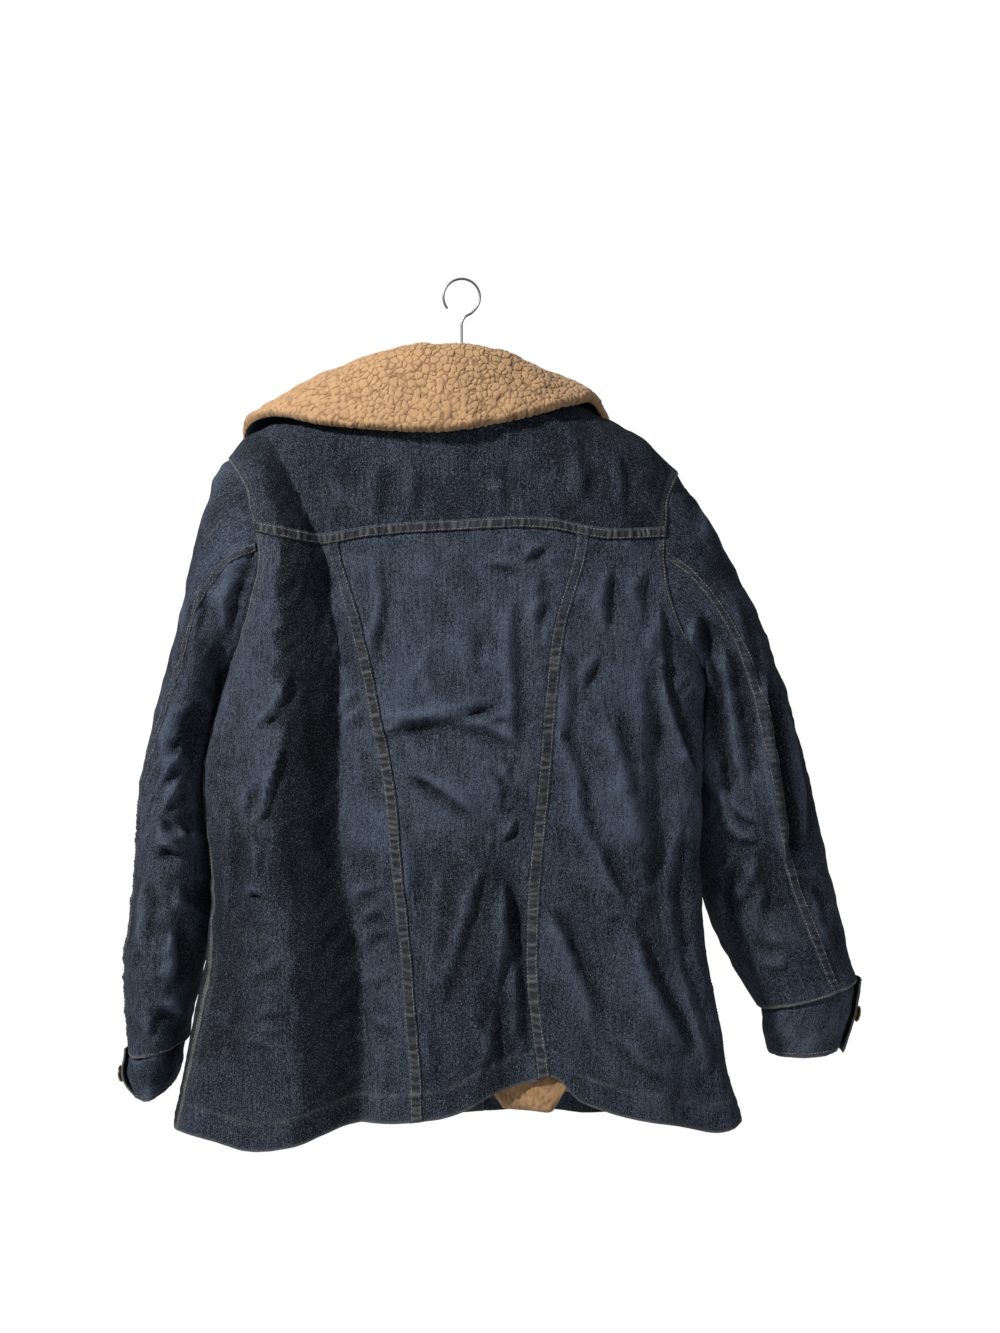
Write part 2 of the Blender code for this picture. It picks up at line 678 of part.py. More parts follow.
def front_shares():
    rest = np.linspace(0, 1, FRONT_ROWS)
    stitch = HEM_DEPTH / FRONT_LENGTH
    return np.concatenate([[0], stitch + (1 - stitch) * (0.62 * rest + 0.38 * np.sin(rest * math.pi / 2))])


def solve(lines, bottom, top, shares):
    """Turns and heights of a grid: its columns follow the lines and its rows divide them by the shares."""
    count = len(lines(np.full((1, 1), -400.0)))
    pick = np.arange(count)
    z = np.full((count, len(shares)), -400.0)
    for _ in range(60):
        turn = lines(z)[pick, pick]
        x = body_x(turn, z)
        z = 0.4 * z + 0.6 * (bottom(x) + (top(x) - bottom(x)) * shares[None, :])
    return turn, z


def body_wall(name, turn, z, outer, inner, look, down=False):
    return wall(name, body(turn, z), body_normal(turn, z), outer, inner, look, down)


def hem_layer(name, turn, z, look, down=False):
    """The hem's turned-up strip, inside the panels' own first two rows."""
    layer = -(DENIM + LAYER_GAP)
    body_wall(name, turn[:, :2], z[:, :2] + np.array([1.0, 0.0]), layer, layer - HEM_TURN, look, down)


def lowered(top):
    """Where the lining ends: under the neck seam and the shoulder seams."""
    return lambda x: top(x) - np.where(in_neck(x), LINING_NECK_DROP, 2.0)


def make_lining(name, turn, z, hem_z, top, look, down=False):
    """The lining's wall inside the panels: their own grid, cut off at its hem and below the neck."""
    turn = trimmed(turn, z)
    points, normals = body(turn, z), body_normal(turn, z)
    ends = (np.full(len(z), hem_z), top(points[:, -1, 0]))
    low, high = (cut_at(points, normals, z, height) for height in ends)
    points, normals = (
        np.concatenate([a[:, None], grid[:, 2:-2], b[:, None]], axis=1)
        for a, grid, b in zip(low, (points, normals), high)
    )
    wall(name, points, normals, LINING_OUT, LINING_IN, look, down)


def cut_at(points, normals, z, height):
    """Each column's point and normal at its height, on the straight line between two of its rows."""
    pick = np.arange(len(z))
    k = np.clip((z < height[:, None]).sum(axis=1) - 1, 0, z.shape[1] - 2)
    share = ((height - z[pick, k]) / (z[pick, k + 1] - z[pick, k]))[:, None]
    return [grid[pick, k] * (1 - share) + grid[pick, k + 1] * share for grid in (points, normals)]


def make_back(denim, sherpa):
    left = SIDE_COLUMNS + 1
    right = left + CENTRE_COLUMNS + 2
    last = right + SIDE_COLUMNS + 1
    half_gap = SEAM_GAP / 2
    under_yoke = lambda x: yoke_z(x) - half_gap
    over_yoke = lambda x: yoke_z(x) + half_gap
    grids = []
    for name, a, b in (
        ("side_back_left", 0, left),
        ("centre_back", left, right),
        ("side_back_right", right, last),
    ):
        lines = lambda z, a=a, b=b: back_columns(z)[a : b + 1]
        turn, z = solve(lines, hem_back_z, under_yoke, lower_shares())
        grids.append((turn, z))
        body_wall(name, trimmed(turn, z), z, 0, -DENIM, denim)
    for name, (a, b) in zip(("seam_back_left", "seam_back_right"), zip(grids, grids[1:])):
        turn = np.stack([a[0][-2], a[0][-1], b[0][1]])[:, :-1]
        z = np.stack([a[1][-2], a[1][-1], b[1][1]])[:, :-1]
        body_wall(name, turn, z, LAYER_GAP + LAP_RISE, LAYER_GAP, denim)

    turn, z = solve(back_columns, over_yoke, top_back, yoke_shares())
    turn = trimmed(turn, z)
    body_wall("back_yoke", turn, z, 0, -DENIM, denim)
    body_wall("seam_yoke", turn[:, :2], z[:, :2], LAYER_GAP + LAP_RISE, LAYER_GAP, denim)

    low_turn, low_z = solve(back_columns, hem_back_z, under_yoke, lower_shares())
    hem_layer("hem_back", trimmed(low_turn, low_z), low_z, denim)
    turn = np.concatenate([low_turn[:, :-1], turn[:, 1:]], axis=1)
    z = np.concatenate([low_z[:, :-1], z[:, 1:]], axis=1)
    make_lining("lining_back", turn, z, LINING_HEM_BACK, lowered(top_back), sherpa)


def make_front(left, denim, sherpa):
    side = "left" if left else "right"
    lines = lambda z: front_columns(z, left)
    turn, z = solve(lines, hem_front_z, top_front, front_shares())
    cut = trimmed(turn, z, last=False)
    past = (body_x(cut, z) - NECK_MID) * (-1 if left else 1)
    rise = 0.0 if left else OVERLAP_RISE * ease((past + 44) / 20)
    body_wall("front_" + side, cut, z, rise, rise - DENIM, denim, down=True)
    hem_layer("hem_front_" + side, cut[:HEM_FRONT_COLUMNS], z[:HEM_FRONT_COLUMNS], denim, down=True)
    turn, z = turn[:LINING_FRONT_COLUMNS], z[:LINING_FRONT_COLUMNS]
    make_lining("lining_front_" + side, turn, z, LINING_HEM_FRONT, lowered(top_front), sherpa, down=True)


def make_sleeve(table, left, denim):
    side = "left" if left else "right"
    sleeve = Sleeve(table, left)
    rows = np.linspace(0, sleeve.rows, ARC_ROWS)[None, :]
    elbow, underarm = sleeve.section(rows)[..., 6], sleeve.section(rows)[..., 7]
    lap = np.degrees(LAP_HALF / ARM_RADIUS)
    gap = np.degrees(SEAM_GAP / ARM_RADIUS)
    upper = spread((elbow - gap, elbow - lap, underarm - 360 + gap), (1, UPPER_COLUMNS))[:, 0]
    under = spread((elbow + gap, elbow + lap, underarm - gap), (1, UNDER_COLUMNS))[:, 0]
    band = np.stack([upper[1], (upper[0] + under[0]) / 2, under[1]])
    out = LAYER_GAP + LAP_RISE
    for name, degrees, high, low in (
        ("sleeve_upper_", upper, 0, -DENIM),
        ("sleeve_under_", under, 0, -DENIM),
        ("seam_elbow_", band, out, LAYER_GAP),
    ):
        starts = sleeve.begin(degrees, rows)
        wall(name + side, sleeve(degrees, starts), sleeve.normal(degrees, starts), high, low, denim)


def make_cuff(table, left, denim, brass):
    side = "left" if left else "right"
    cuff = Cuff(table, left)
    most = np.linspace(CUFF_UNDER, CUFF_LAP, CUFF_COLUMNS)
    degrees = np.concatenate([most, np.linspace(CUFF_LAP, CUFF_OVER, LAP_COLUMNS)[1:]])[:, None]
    rows = np.array([[0.0, 0.5, 1.0]])
    lift = cuff.lift(degrees)
    points, normals = cuff(degrees, rows), cuff.normal(degrees, rows)
    wall("cuff_" + side, points, normals, lift, lift - CUFF_WALL, denim)
    seat = points[-2, 1] + normals[-2, 1] * (lift[-2, 0] + LAYER_GAP)
    button("button_cuff_" + side, seat, normals[-2, 1], brass)


def make_collar(denim, sherpa):
    place = np.linspace(0, len(COLLAR) - 1, COLLAR_PLACES)[:, None]
    stand = np.linspace(0.02, FOLD_SHARE, STAND_ROWS)
    share = np.concatenate([stand, np.linspace(FOLD_SHARE, 1, FALL_ROWS)[1:]])[None, :]
    place, share = np.broadcast_arrays(place, share)
    points, normals = collar(place, share), collar_normal(place, share)
    wall("collar_upper", points, normals, COLLAR_SHERPA, 0, sherpa)
    wall("collar_under", points, normals, -LAYER_GAP, -LAYER_GAP - DENIM, denim)


def make_front_buttons(brass):
    """In a row down the middle of the upper front."""
    heights = np.linspace(FIRST_BUTTON_Z, LAST_BUTTON_Z, BUTTON_ROWS)
    for k, z in enumerate(heights):
        z = np.asarray(z)
        at = turn_at_x(0.0, z, -1)
        normal = body_normal(at, z)
        seat = body(at, z) + normal * (OVERLAP_RISE + LAYER_GAP)
        button(f"button_front_{k + 1}", seat, normal, brass)


def make_hanger(steel):
    frame = rounded(((0, HANGER_TOP_Z), HANGER_LEFT, HANGER_RIGHT), (15, 7, 7), 6)
    tube("hanger_frame", frame, WIRE, steel, closed=True)
    top = max(z for _, _, z in frame)
    path = [(0, top + WIRE + LAYER_GAP), (0, TWIST_TOP - 1), (0, TWIST_TOP), (0, -50), (0, -43)]
    radius = [TWIST_RADIUS] * 2 + [WIRE] * 3
    for x, z in ((-2.8, -38), (-8.1, -34.5)):
        path.append((x, z))
    for k in range(15):
        a = math.radians(222 - 18 * k)
        path.append((HOOK_RADIUS * math.cos(a), HOOK_CENTRE_Z + HOOK_RADIUS * math.sin(a)))
    path = [(x, 0, z) for x, z in path]
    radius += [WIRE] * (len(path) - len(radius))
    tube("hanger_hook", path, radius, steel)


def main():
    for old in list(bpy.data.objects):
        bpy.data.objects.remove(old, do_unlink=True)
    denim = material("denim", (0.035, 0.055, 0.105), 0.85)
    sherpa = material("sherpa", (0.60, 0.38, 0.19), 0.95)
    steel = material("steel", (0.35, 0.35, 0.36), 0.35, 1.0)
    brass = material("button_metal", (0.30, 0.20, 0.12), 0.4, 1.0)
    make_back(denim, sherpa)
    make_front(True, denim, sherpa)
    make_front(False, denim, sherpa)
    make_front_buttons(brass)
    for left, sleeve, cuff in ((True, SLEEVE_LEFT, CUFF_LEFT), (False, SLEEVE_RIGHT, CUFF_RIGHT)):
        make_sleeve(sleeve, left, denim)
        make_cuff(cuff, left, denim, brass)
    make_collar(denim, sherpa)
    make_hanger(steel)


main()
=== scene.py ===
"""Looks of a sherpa-lined denim jacket on a wire hanger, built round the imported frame.

Lengths in the tables are in millimetres; meshes are made in metres. +Z is up, the back faces +Y and the
wearer's left is at +X.
"""

import math

import bpy
import numpy as np
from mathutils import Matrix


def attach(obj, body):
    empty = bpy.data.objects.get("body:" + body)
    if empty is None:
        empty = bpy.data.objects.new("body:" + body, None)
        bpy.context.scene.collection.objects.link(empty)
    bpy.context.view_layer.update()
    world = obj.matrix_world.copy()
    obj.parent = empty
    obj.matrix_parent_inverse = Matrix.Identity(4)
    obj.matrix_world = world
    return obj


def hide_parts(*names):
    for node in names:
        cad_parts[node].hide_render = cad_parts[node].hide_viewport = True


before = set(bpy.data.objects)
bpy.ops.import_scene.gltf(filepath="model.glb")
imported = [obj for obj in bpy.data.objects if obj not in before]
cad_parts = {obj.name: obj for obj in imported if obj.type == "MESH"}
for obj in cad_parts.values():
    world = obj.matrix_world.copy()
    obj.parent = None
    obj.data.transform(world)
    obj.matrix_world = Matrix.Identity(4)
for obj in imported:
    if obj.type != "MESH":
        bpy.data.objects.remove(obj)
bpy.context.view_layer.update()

MM = 0.001

# ---------------------------------------------------------------- sizes, as in the part's source

# Cloth and gaps
DENIM = 1.6  # one layer of denim
HEM_TURN = 1.2  # the hem's turned-up layer, pressed flat
SHERPA = 5.5  # the body lining's pile and backing
COLLAR_SHERPA = 8.0  # the collar's pile and backing
CUFF_WALL = 2.4  # the cuff, doubled denim
LAP_RISE = 1.0  # how far a folded, double-stitched seam stands out
SEAM_GAP = 0.4  # between neighbouring pieces
LAYER_GAP = 0.4  # between layers
LAP_HALF = 6.5  # half the width of a folded seam
YOKE_LAP = 11.0  # height of the folded seam along the yoke
HEM_DEPTH = 28.0  # from the hem's fold to its stitching
LINING_OUT = -(DENIM + HEM_TURN + 4 * LAYER_GAP)  # the lining's denim side, from the coat's outer face
LINING_IN = LINING_OUT - SHERPA

# Body: height, the two side edges, and how deep the back and the front bulge
BODY = (
    # z, left x, right x, back y, front y
    (-900, 300, -292, 75, 71),
    (-862, 293, -287, 74, 70),
    (-800, 283, -270, 72, 68),
    (-745, 270, -260, 70, 66),
    (-690, 260, -251, 68, 63),
    (-600, 255, -244, 66, 60),
    (-508, 262, -246, 66, 60),
    (-460, 254, -247, 67, 61),
    (-400, 240, -248, 68, 62),
    (-300, 246, -247, 68, 62),
    (-180, 250, -245, 66, 62),
    (-60, 250, -245, 66, 62),
)
ROUNDNESS = 2.6  # 2 is an ellipse; more is boxier
YOKE_HEIGHT = 150.0  # roughly
ARM_RADIUS = 50.0  # of a sleeve, roughly
RIDGE_Y = -5.0  # the shoulder seam, just in front of the middle
SHOULDER_ROUND = 75.0  # how far below the shoulder line the cloth reaches its full depth

# Shoulder line: x, height. Between the neck points it only carries the curve on.
SHOULDER = (
    (-250, -236), (-221, -198), (-206, -181), (-190, -165), (-174, -154.5), (-137, -136.5),
    (-78, -107), (0, -70), (82, -104), (150, -131), (200, -151), (223, -164), (240, -183), (252, -200),
)  # fmt: skip
RIDGE_DROP = 0.0008  # keeps the back and the front apart at the shoulder seams
NECK_MID, NECK_HALF = 2.0, 80.0
NECK_BACK = 60.0  # the neck hole's reach behind the shoulder seams
NECK_BACK_Z = -110.0  # about where the neck seam lies on the back
NECK_FRONT_Z = -205.0  # the neckline's lowest point, at the centre front
UNDERARM_Z = -400.0

# Armholes: height, x of the seam
ARMHOLE_LEFT = (
    (-400, 240), (-378, 226), (-352, 216), (-325, 208), (-290, 200),
    (-260, 203), (-240, 208), (-218, 214), (-202, 223.5), (-183, 240),
)  # fmt: skip
ARMHOLE_RIGHT = (
    (-400, -248), (-378, -235), (-358, -222), (-337, -213), (-317, -206.5),
    (-300, -204.5), (-265, -205), (-232, -208), (-216.5, -213), (-198, -221),
)  # fmt: skip
ARMHOLE_FRONT_INSET = 6.0  # the front is this much narrower at mid armhole

# Seams of the back: height, x of the left and of the right long seam. Above the yoke they run to the neck.
LONG_SEAMS = (
    # z, left x, right x
    (-870, 42, -87),
    (-800, 44, -82),
    (-720, 51, -72),
    (-620, 60, -73),
    (-520, 70, -82),
    (-430, 87, -89.5),
    (-362, 102, -97),
    (-268, 127, -121),
    (-104, 82, -78),
)
YOKE_SEAM = ((-210, -267), (-143, -270), (-86, -260.5), (0, -262), (93, -268), (141, -274), (210, -261))
HEM_BACK = (
    (-292, -857), (-262, -863), (-208, -849), (-143, -834), (-113, -820), (-95, -801), (-70, -806),
    (-28, -819), (5, -836), (67, -848), (110, -849), (164, -866), (215, -875), (262, -866), (300, -862),
)  # fmt: skip
HEM_FRONT = ((-292, -857), (-200, -868), (-100, -868), (-20, -871), (100, -873), (200, -872), (300, -862))
LINING_HEM_FRONT = -845.0
# The side seams: height, y. The left front reaches round the side, and shows behind the back's edge.
SIDE_SEAM_LEFT = ((-870, 26), (-740, 28), (-600, 18), (-500, 13), (-440, 8), (-400, 0))
SIDE_SEAM_RIGHT = ((-870, -6), (-600, -3), (-400, 0))
FRONT_OVERLAP = 22.0  # each front runs this far past the middle
OVERLAP_RISE = DENIM + 2 * LAYER_GAP  # the right front lies on the left one
LINING_NECK_DROP = 9.0  # the lining stops this far below the neck seam

# Folds: where one starts and ends, its half width, its height (a trough is negative) and its sideways bow.
BACK_FOLDS = (
    # x, z from, x, z to, half width, height, bow
    (-22, -560, -6, -980, 26, 7, 0),
    (-52, -540, -60, -980, 22, -8, 0),
    (-150, -420, -205, -980, 30, 6, 4),
    (-190, -420, -250, -980, 24, -8, 6),
    (232, -640, 240, -980, 22, -7, 0),
)
FRONT_FOLDS = (
    (-165, -205, -150, -520, 26, -9, 4),
    (-120, -420, -128, -980, 28, -10, 0),
    (-190, -480, -205, -980, 30, 8, 0),
    (-62, -380, -66, -980, 26, 6, 0),
    (168, -205, 150, -470, 26, -9, -4),
    (132, -520, 140, -980, 28, -11, 0),
    (196, -520, 215, -980, 30, 9, 0),
    (70, -460, 74, -980, 26, 7, 0),
)
FOLD_FADE = 70.0  # length over which a fold's end dies away

# Sleeves: outer edge, inner edge, y of the middle, half depth, and the places of the elbow seam and the
# underarm seam in degrees round the sleeve, from its outer edge over the back. The first row is the armhole.
SLEEVE_RIGHT = (
    # outer x, z, inner x, z, y, half depth, elbow, underarm
    (-222, -198, -248, -400, -2, 45, 82, 150),
    (-245, -231, -251.5, -406, -4, 46, 81, 148),
    (-274, -282, -251, -418, -8, 48, 80, 146),
    (-303, -337, -249.5, -436, -13, 48, 78, 144),
    (-326, -390, -248, -460, -19, 48, 76, 142),
    (-343, -443, -246, -490, -26, 48, 75, 140),
    (-357, -492, -244, -524, -32, 47, 74, 138),
    (-370, -543, -243, -568, -39, 46, 72, 138),
    (-381, -590, -246, -613, -46, 45, 70, 140),
    (-392, -634, -257, -652, -54, 44, 67, 144),
    (-405, -680, -279, -700, -62, 44, 64, 148),
    (-418, -731, -316, -759, -71, 42, 60, 148),
)
SLEEVE_LEFT = (
    (241, -183, 240, -400, -2, 45, 82, 150),
    (257, -212, 246, -405, -4, 47, 80, 150),
    (269, -252, 247, -413, -6, 50, 78, 148),
    (279, -292, 249, -425, -9, 53, 76, 146),
    (289, -340, 251, -442, -12, 56, 72, 142),
    (302, -390, 255, -464, -15, 58, 66, 138),
    (315, -440, 260, -492, -18, 60, 58, 132),
    (327, -488, 264, -522, -21, 62, 48, 126),
    (335, -540, 262, -560, -24, 64, 36, 118),
    (337, -590, 257, -602, -27, 64, 28, 112),
    (344, -640, 257, -650, -29, 62, 24, 108),
    (351, -690, 268, -698, -31, 61, 22, 106),
    (350, -745, 281, -752, -34, 58, 24, 106),
    (346, -798, 290, -786, -37, 54, 26, 108),
)
CUFF_RIGHT = (
    (-418, -732, -316, -760, -71, 42),
    (-413, -768, -318, -786, -74, 38),
    (-401, -806, -326, -811, -77, 35),
)
CUFF_LEFT = (
    (346, -799, 290, -787, -37, 54),
    (349, -823, 293, -812, -39, 50),
    (336, -844, 301, -836, -40, 46),
)
ARMHOLE_HOLD = (1.0, 0.55, 0.2, 0.04)  # how much of the armhole's own shape the first sections keep
ARMHOLE_GAP = 2.2  # from the body to the sleeve, which meets it along a curve
CUFF_UNDER, CUFF_OVER = -25.0, 375.0  # degrees where the cuff's strip starts below and ends on top
CUFF_LIFT = ((-25, 0), (285, 0), (330, 3.4), (375, 6.5))  # degrees, how far the strip lies out

# Collar: x of the neck seam (+1 on the back, -1 on the front), the fold, and the outer edge
COLLAR = (
    # neck x, side, fold x, y, z, edge x, y, z
    (14, -1, 34, -80, -198, 80, -84, -268),
    (45, -1, 84, -76, -160, 160, -78, -250),
    (74, -1, 122, -48, -122, 214, -58, -202),
    (82, 1, 124, -4, -104, 224, -12, -155),
    (70, 1, 96, 24, -92, 190, 28, -143),
    (44, 1, 58, 46, -85, 128, 62, -158),
    (4, 1, 8, 56, -84, 20, 77, -166),
    (-40, 1, -38, 46, -87, -62, 66, -151),
    (-66, 1, -66, 22, -98, -110, 44, -135),
    (-78, 1, -84, -6, -106, -139, 1, -131),
    (-70, -1, -90, -46, -124, -166, -62, -188),
    (-42, -1, -62, -76, -160, -134, -82, -242),
    (-14, -1, -30, -84, -196, -74, -88, -264),
)
COLLAR_LIFT_FRONT = 3.4  # in front the collar's seam lies on the panel
FOLD_TURN = 9.0  # the collar's roll is about this wide inside
STAND_RISE = 12.0  # how straight up the collar starts from its seam
FOLD_SHARE = 0.3  # the fold's place between the neck seam and the edge

# Hanger
WIRE = 1.2  # radius
HOOK_RADIUS = 18.7
HOOK_CENTRE_Z = -17.5
# The hook's stem, up from the twisted neck: x, z
HOOK_STEM = ((0, -70), (0, -60), (0, -52), (0, -45.5), (-0.8, -42), (-3, -38.4), (-5.6, -36.2), (-9.4, -34.4))
TWIST_TOP, TWIST_TURNS = -69.0, 2.2
WIRE_SIDES = 12  # of its section
# The wire's corners before they are rounded
HANGER_TOP_Z, HANGER_LEFT, HANGER_RIGHT = -84.6, (226.0, -175.4), (-210.0, -189.0)

# Buttons: radius, height
BUTTON_PROFILE = (
    (3.4, -0.6), (3.4, 1.5), (8.0, 1.7), (8.5, 2.2), (8.5, 2.9), (8.1, 3.5), (7.3, 3.9),
    (6.4, 3.8), (5.6, 3.4), (3.6, 3.3), (2.8, 3.6), (1.8, 4.2), (0.7, 4.45),
)  # fmt: skip
BUTTON_ROWS = 5
FIRST_BUTTON_Z, LAST_BUTTON_Z = -240.0, -760.0


# ---------------------------------------------------------------- what only the looks need

STEP = 0.4  # for slopes
SHARP_DEGREES = 55  # an edge that turns more than this isn't shaded smooth
SETTLING_ROUNDS = 40  # a grid's heights and widths depend on each other, and settle in these

# Sewing
STITCH_PITCH, STITCH_LENGTH = 3.4, 2.5
STITCH_PROFILE = ((0.0, -0.35), (0.22, 0.2), (0.78, 0.2), (1.0, -0.35))  # share of its length, height
THREAD, THREAD_SIDES = 0.42, 5  # its radius, and the sides of its section
TOPSTITCH = 4.3  # a folded seam's stitching, from its middle
EDGE_STITCH, PLACKET_STITCH = 2.0, 40.0  # from a folded edge; the placket's second row, from the front edge
CUFF_STITCH = 5.0  # from the cuff's edges
SIDE_SEWN_Z = -690.0  # below this the side seams' stitching lies on top
FOLDED = 0.45  # how far a folded, stitched edge stands up
FOLD_GROOVE = 6.5  # from a folded edge to the groove beside the fold
BAND_GROOVE = 0.66  # the grooves of a folded seam, as a share of half its width
ELBOW_BAND = 5.8  # half the width of the elbow seam's band
ELBOW_PUCKERED = {"left": 0.4, "right": 0.7}
PUCKERS, PUCKER_APART, PUCKER_WIDTH = 340, (4.0, 9.0), (1.0, 1.9)  # how many, and the least and the most
PUCKER_MEAN = 0.3  # their mean height, roughly

# Where pieces meet
TUCK = 1.2  # how far a sleeve's head lies under the armhole's folded edge
TUCK_INWARD = 0.02  # how far its hidden start lies in from the armhole, as a share of the way to the middle
SLEEVE_END, CUFF_TUCK = 1.4, 2.2  # the sleeve's end stands out, and the cuff starts inside it
CUFF_RISE = 5.0  # the cuff's hidden start, above its seam
CUFF_OUT = 0.5  # the cuff's outer face, from its sections
CUFF_BUTTON = 360.0  # degrees
CUFF_BUMPS = {"cuff_left": 1.5, "cuff_right": 0.8}  # heights
CUFF_EDGES = COLLAR_EDGES = ("first", "last", "top")

# Sherpa
LINING_UP = 20.0  # from the back's hem to the lining's
LINING_BULGE = (-70.0, 36.0, -836.0)  # where the lining hangs out below the hem: x, half width and height
LINING_CLEAR = 1.5  # more room between the creased denim and the lining
SHERPA_HEM = 45.0  # above the lining's hem, where its pile shows on both faces
LINING_NUB, COLLAR_NUB, EDGE_NUB = 6.0, 7.0, 5.5  # sizes of the pile's nubs
TUFTS = 1.8  # how far the pile stands out past the collar's edge

# Creases: how much higher they are than in their tables, the limit where they cross, and the length over
# which their ends die away. The lip beside a crease is given in shares of the crease's height and half width.
BODY_CREASED, SLEEVE_CREASED = 1.9, 1.6
CREASE_LIMIT = 8.0
CREASE_FADE = 34.0
LIP, LIP_AWAY, LIP_WIDTH = 0.85, 1.4, 0.8

# Unevenness: height, seed of its random draws, shortest and longest wave
BODY_CRUMPLES = ((0.8, 3, 40, 110), (0.5, 5, 18, 44))
SLEEVE_CRUMPLES = ((0.8, 4, 34, 90), (0.45, 6, 16, 38))
UNEVEN = 0.9  # height of the long soft waves

# Tone: the height at which a ridge is fully lightened and a trough fully darkened, partly real fading and
# partly painted highlight and shade, and how much darker the other places are, as painted shade and painted
# shadow
BODY_FADE_AND_SHADE, SLEEVE_FADE_AND_SHADE, CUFF_FADE_AND_SHADE = 5, 3.5, 3
# Painted shadow in the pleat, for the shadow its crest casts, and the height it starts below
PLEAT_PAINTED_SHADOW, PLEAT_TOP_Z = 1.6, -150
# Painted shade low on the back starts below this height
LOW_BACK_Z = -540
# Painted shade on the left front's strip beyond the side seam
STRIP_PAINTED_SHADE, STRIP_X = 1.4, 225  # the left front's strip beyond the side seam
# Painted shade over each sleeve
SLEEVE_PAINTED_SHADE = {"left": 0.2, "right": 0.5}

# Grids: columns round the coat, and rows up a piece or down a sleeve
PANEL_ROWS, SEAM_ROWS, FRONT_ROWS, LINING_ROWS = 172, 440, 128, 130
SLEEVE_ROWS, ELBOW_ROWS, ELBOW_COLUMNS = 12, 420, 13  # SLEEVE_ROWS is for each row of the table
CUFF_COLUMNS, CUFF_ROWS = 170, 22
COLLAR_COLUMNS, COLLAR_ROWS, COLLAR_INNER_ROWS = 630, 134, 14

# The deep pleat at the back's left: its crest, its valley, how far they stand out and in.
PLEAT = (
    # z, crest x, valley x, rise, drop
    (-880, 165, 101, 10, 18),
    (-775, 163, 98, 14, 26),
    (-676, 168, 104, 16, 30),
    (-607, 183, 119, 16, 31),
    (-528, 188, 123, 16, 30),
    (-459, 175, 122, 16, 29),
    (-385, 181, 123, 16, 29),
    (-330, 181, 131, 15, 27),
    (-281, 178, 137, 13, 23),
    (-257, 181, 148, 11, 19),
    (-212, 192, 168, 8, 15),
    (-187, 205, 182, 5, 10),
    (-165, 222, 196, 1, 3),
)
PLEAT_OUTER, PLEAT_INNER = 38.0, 58.0  # how far the cloth takes to level out on each side

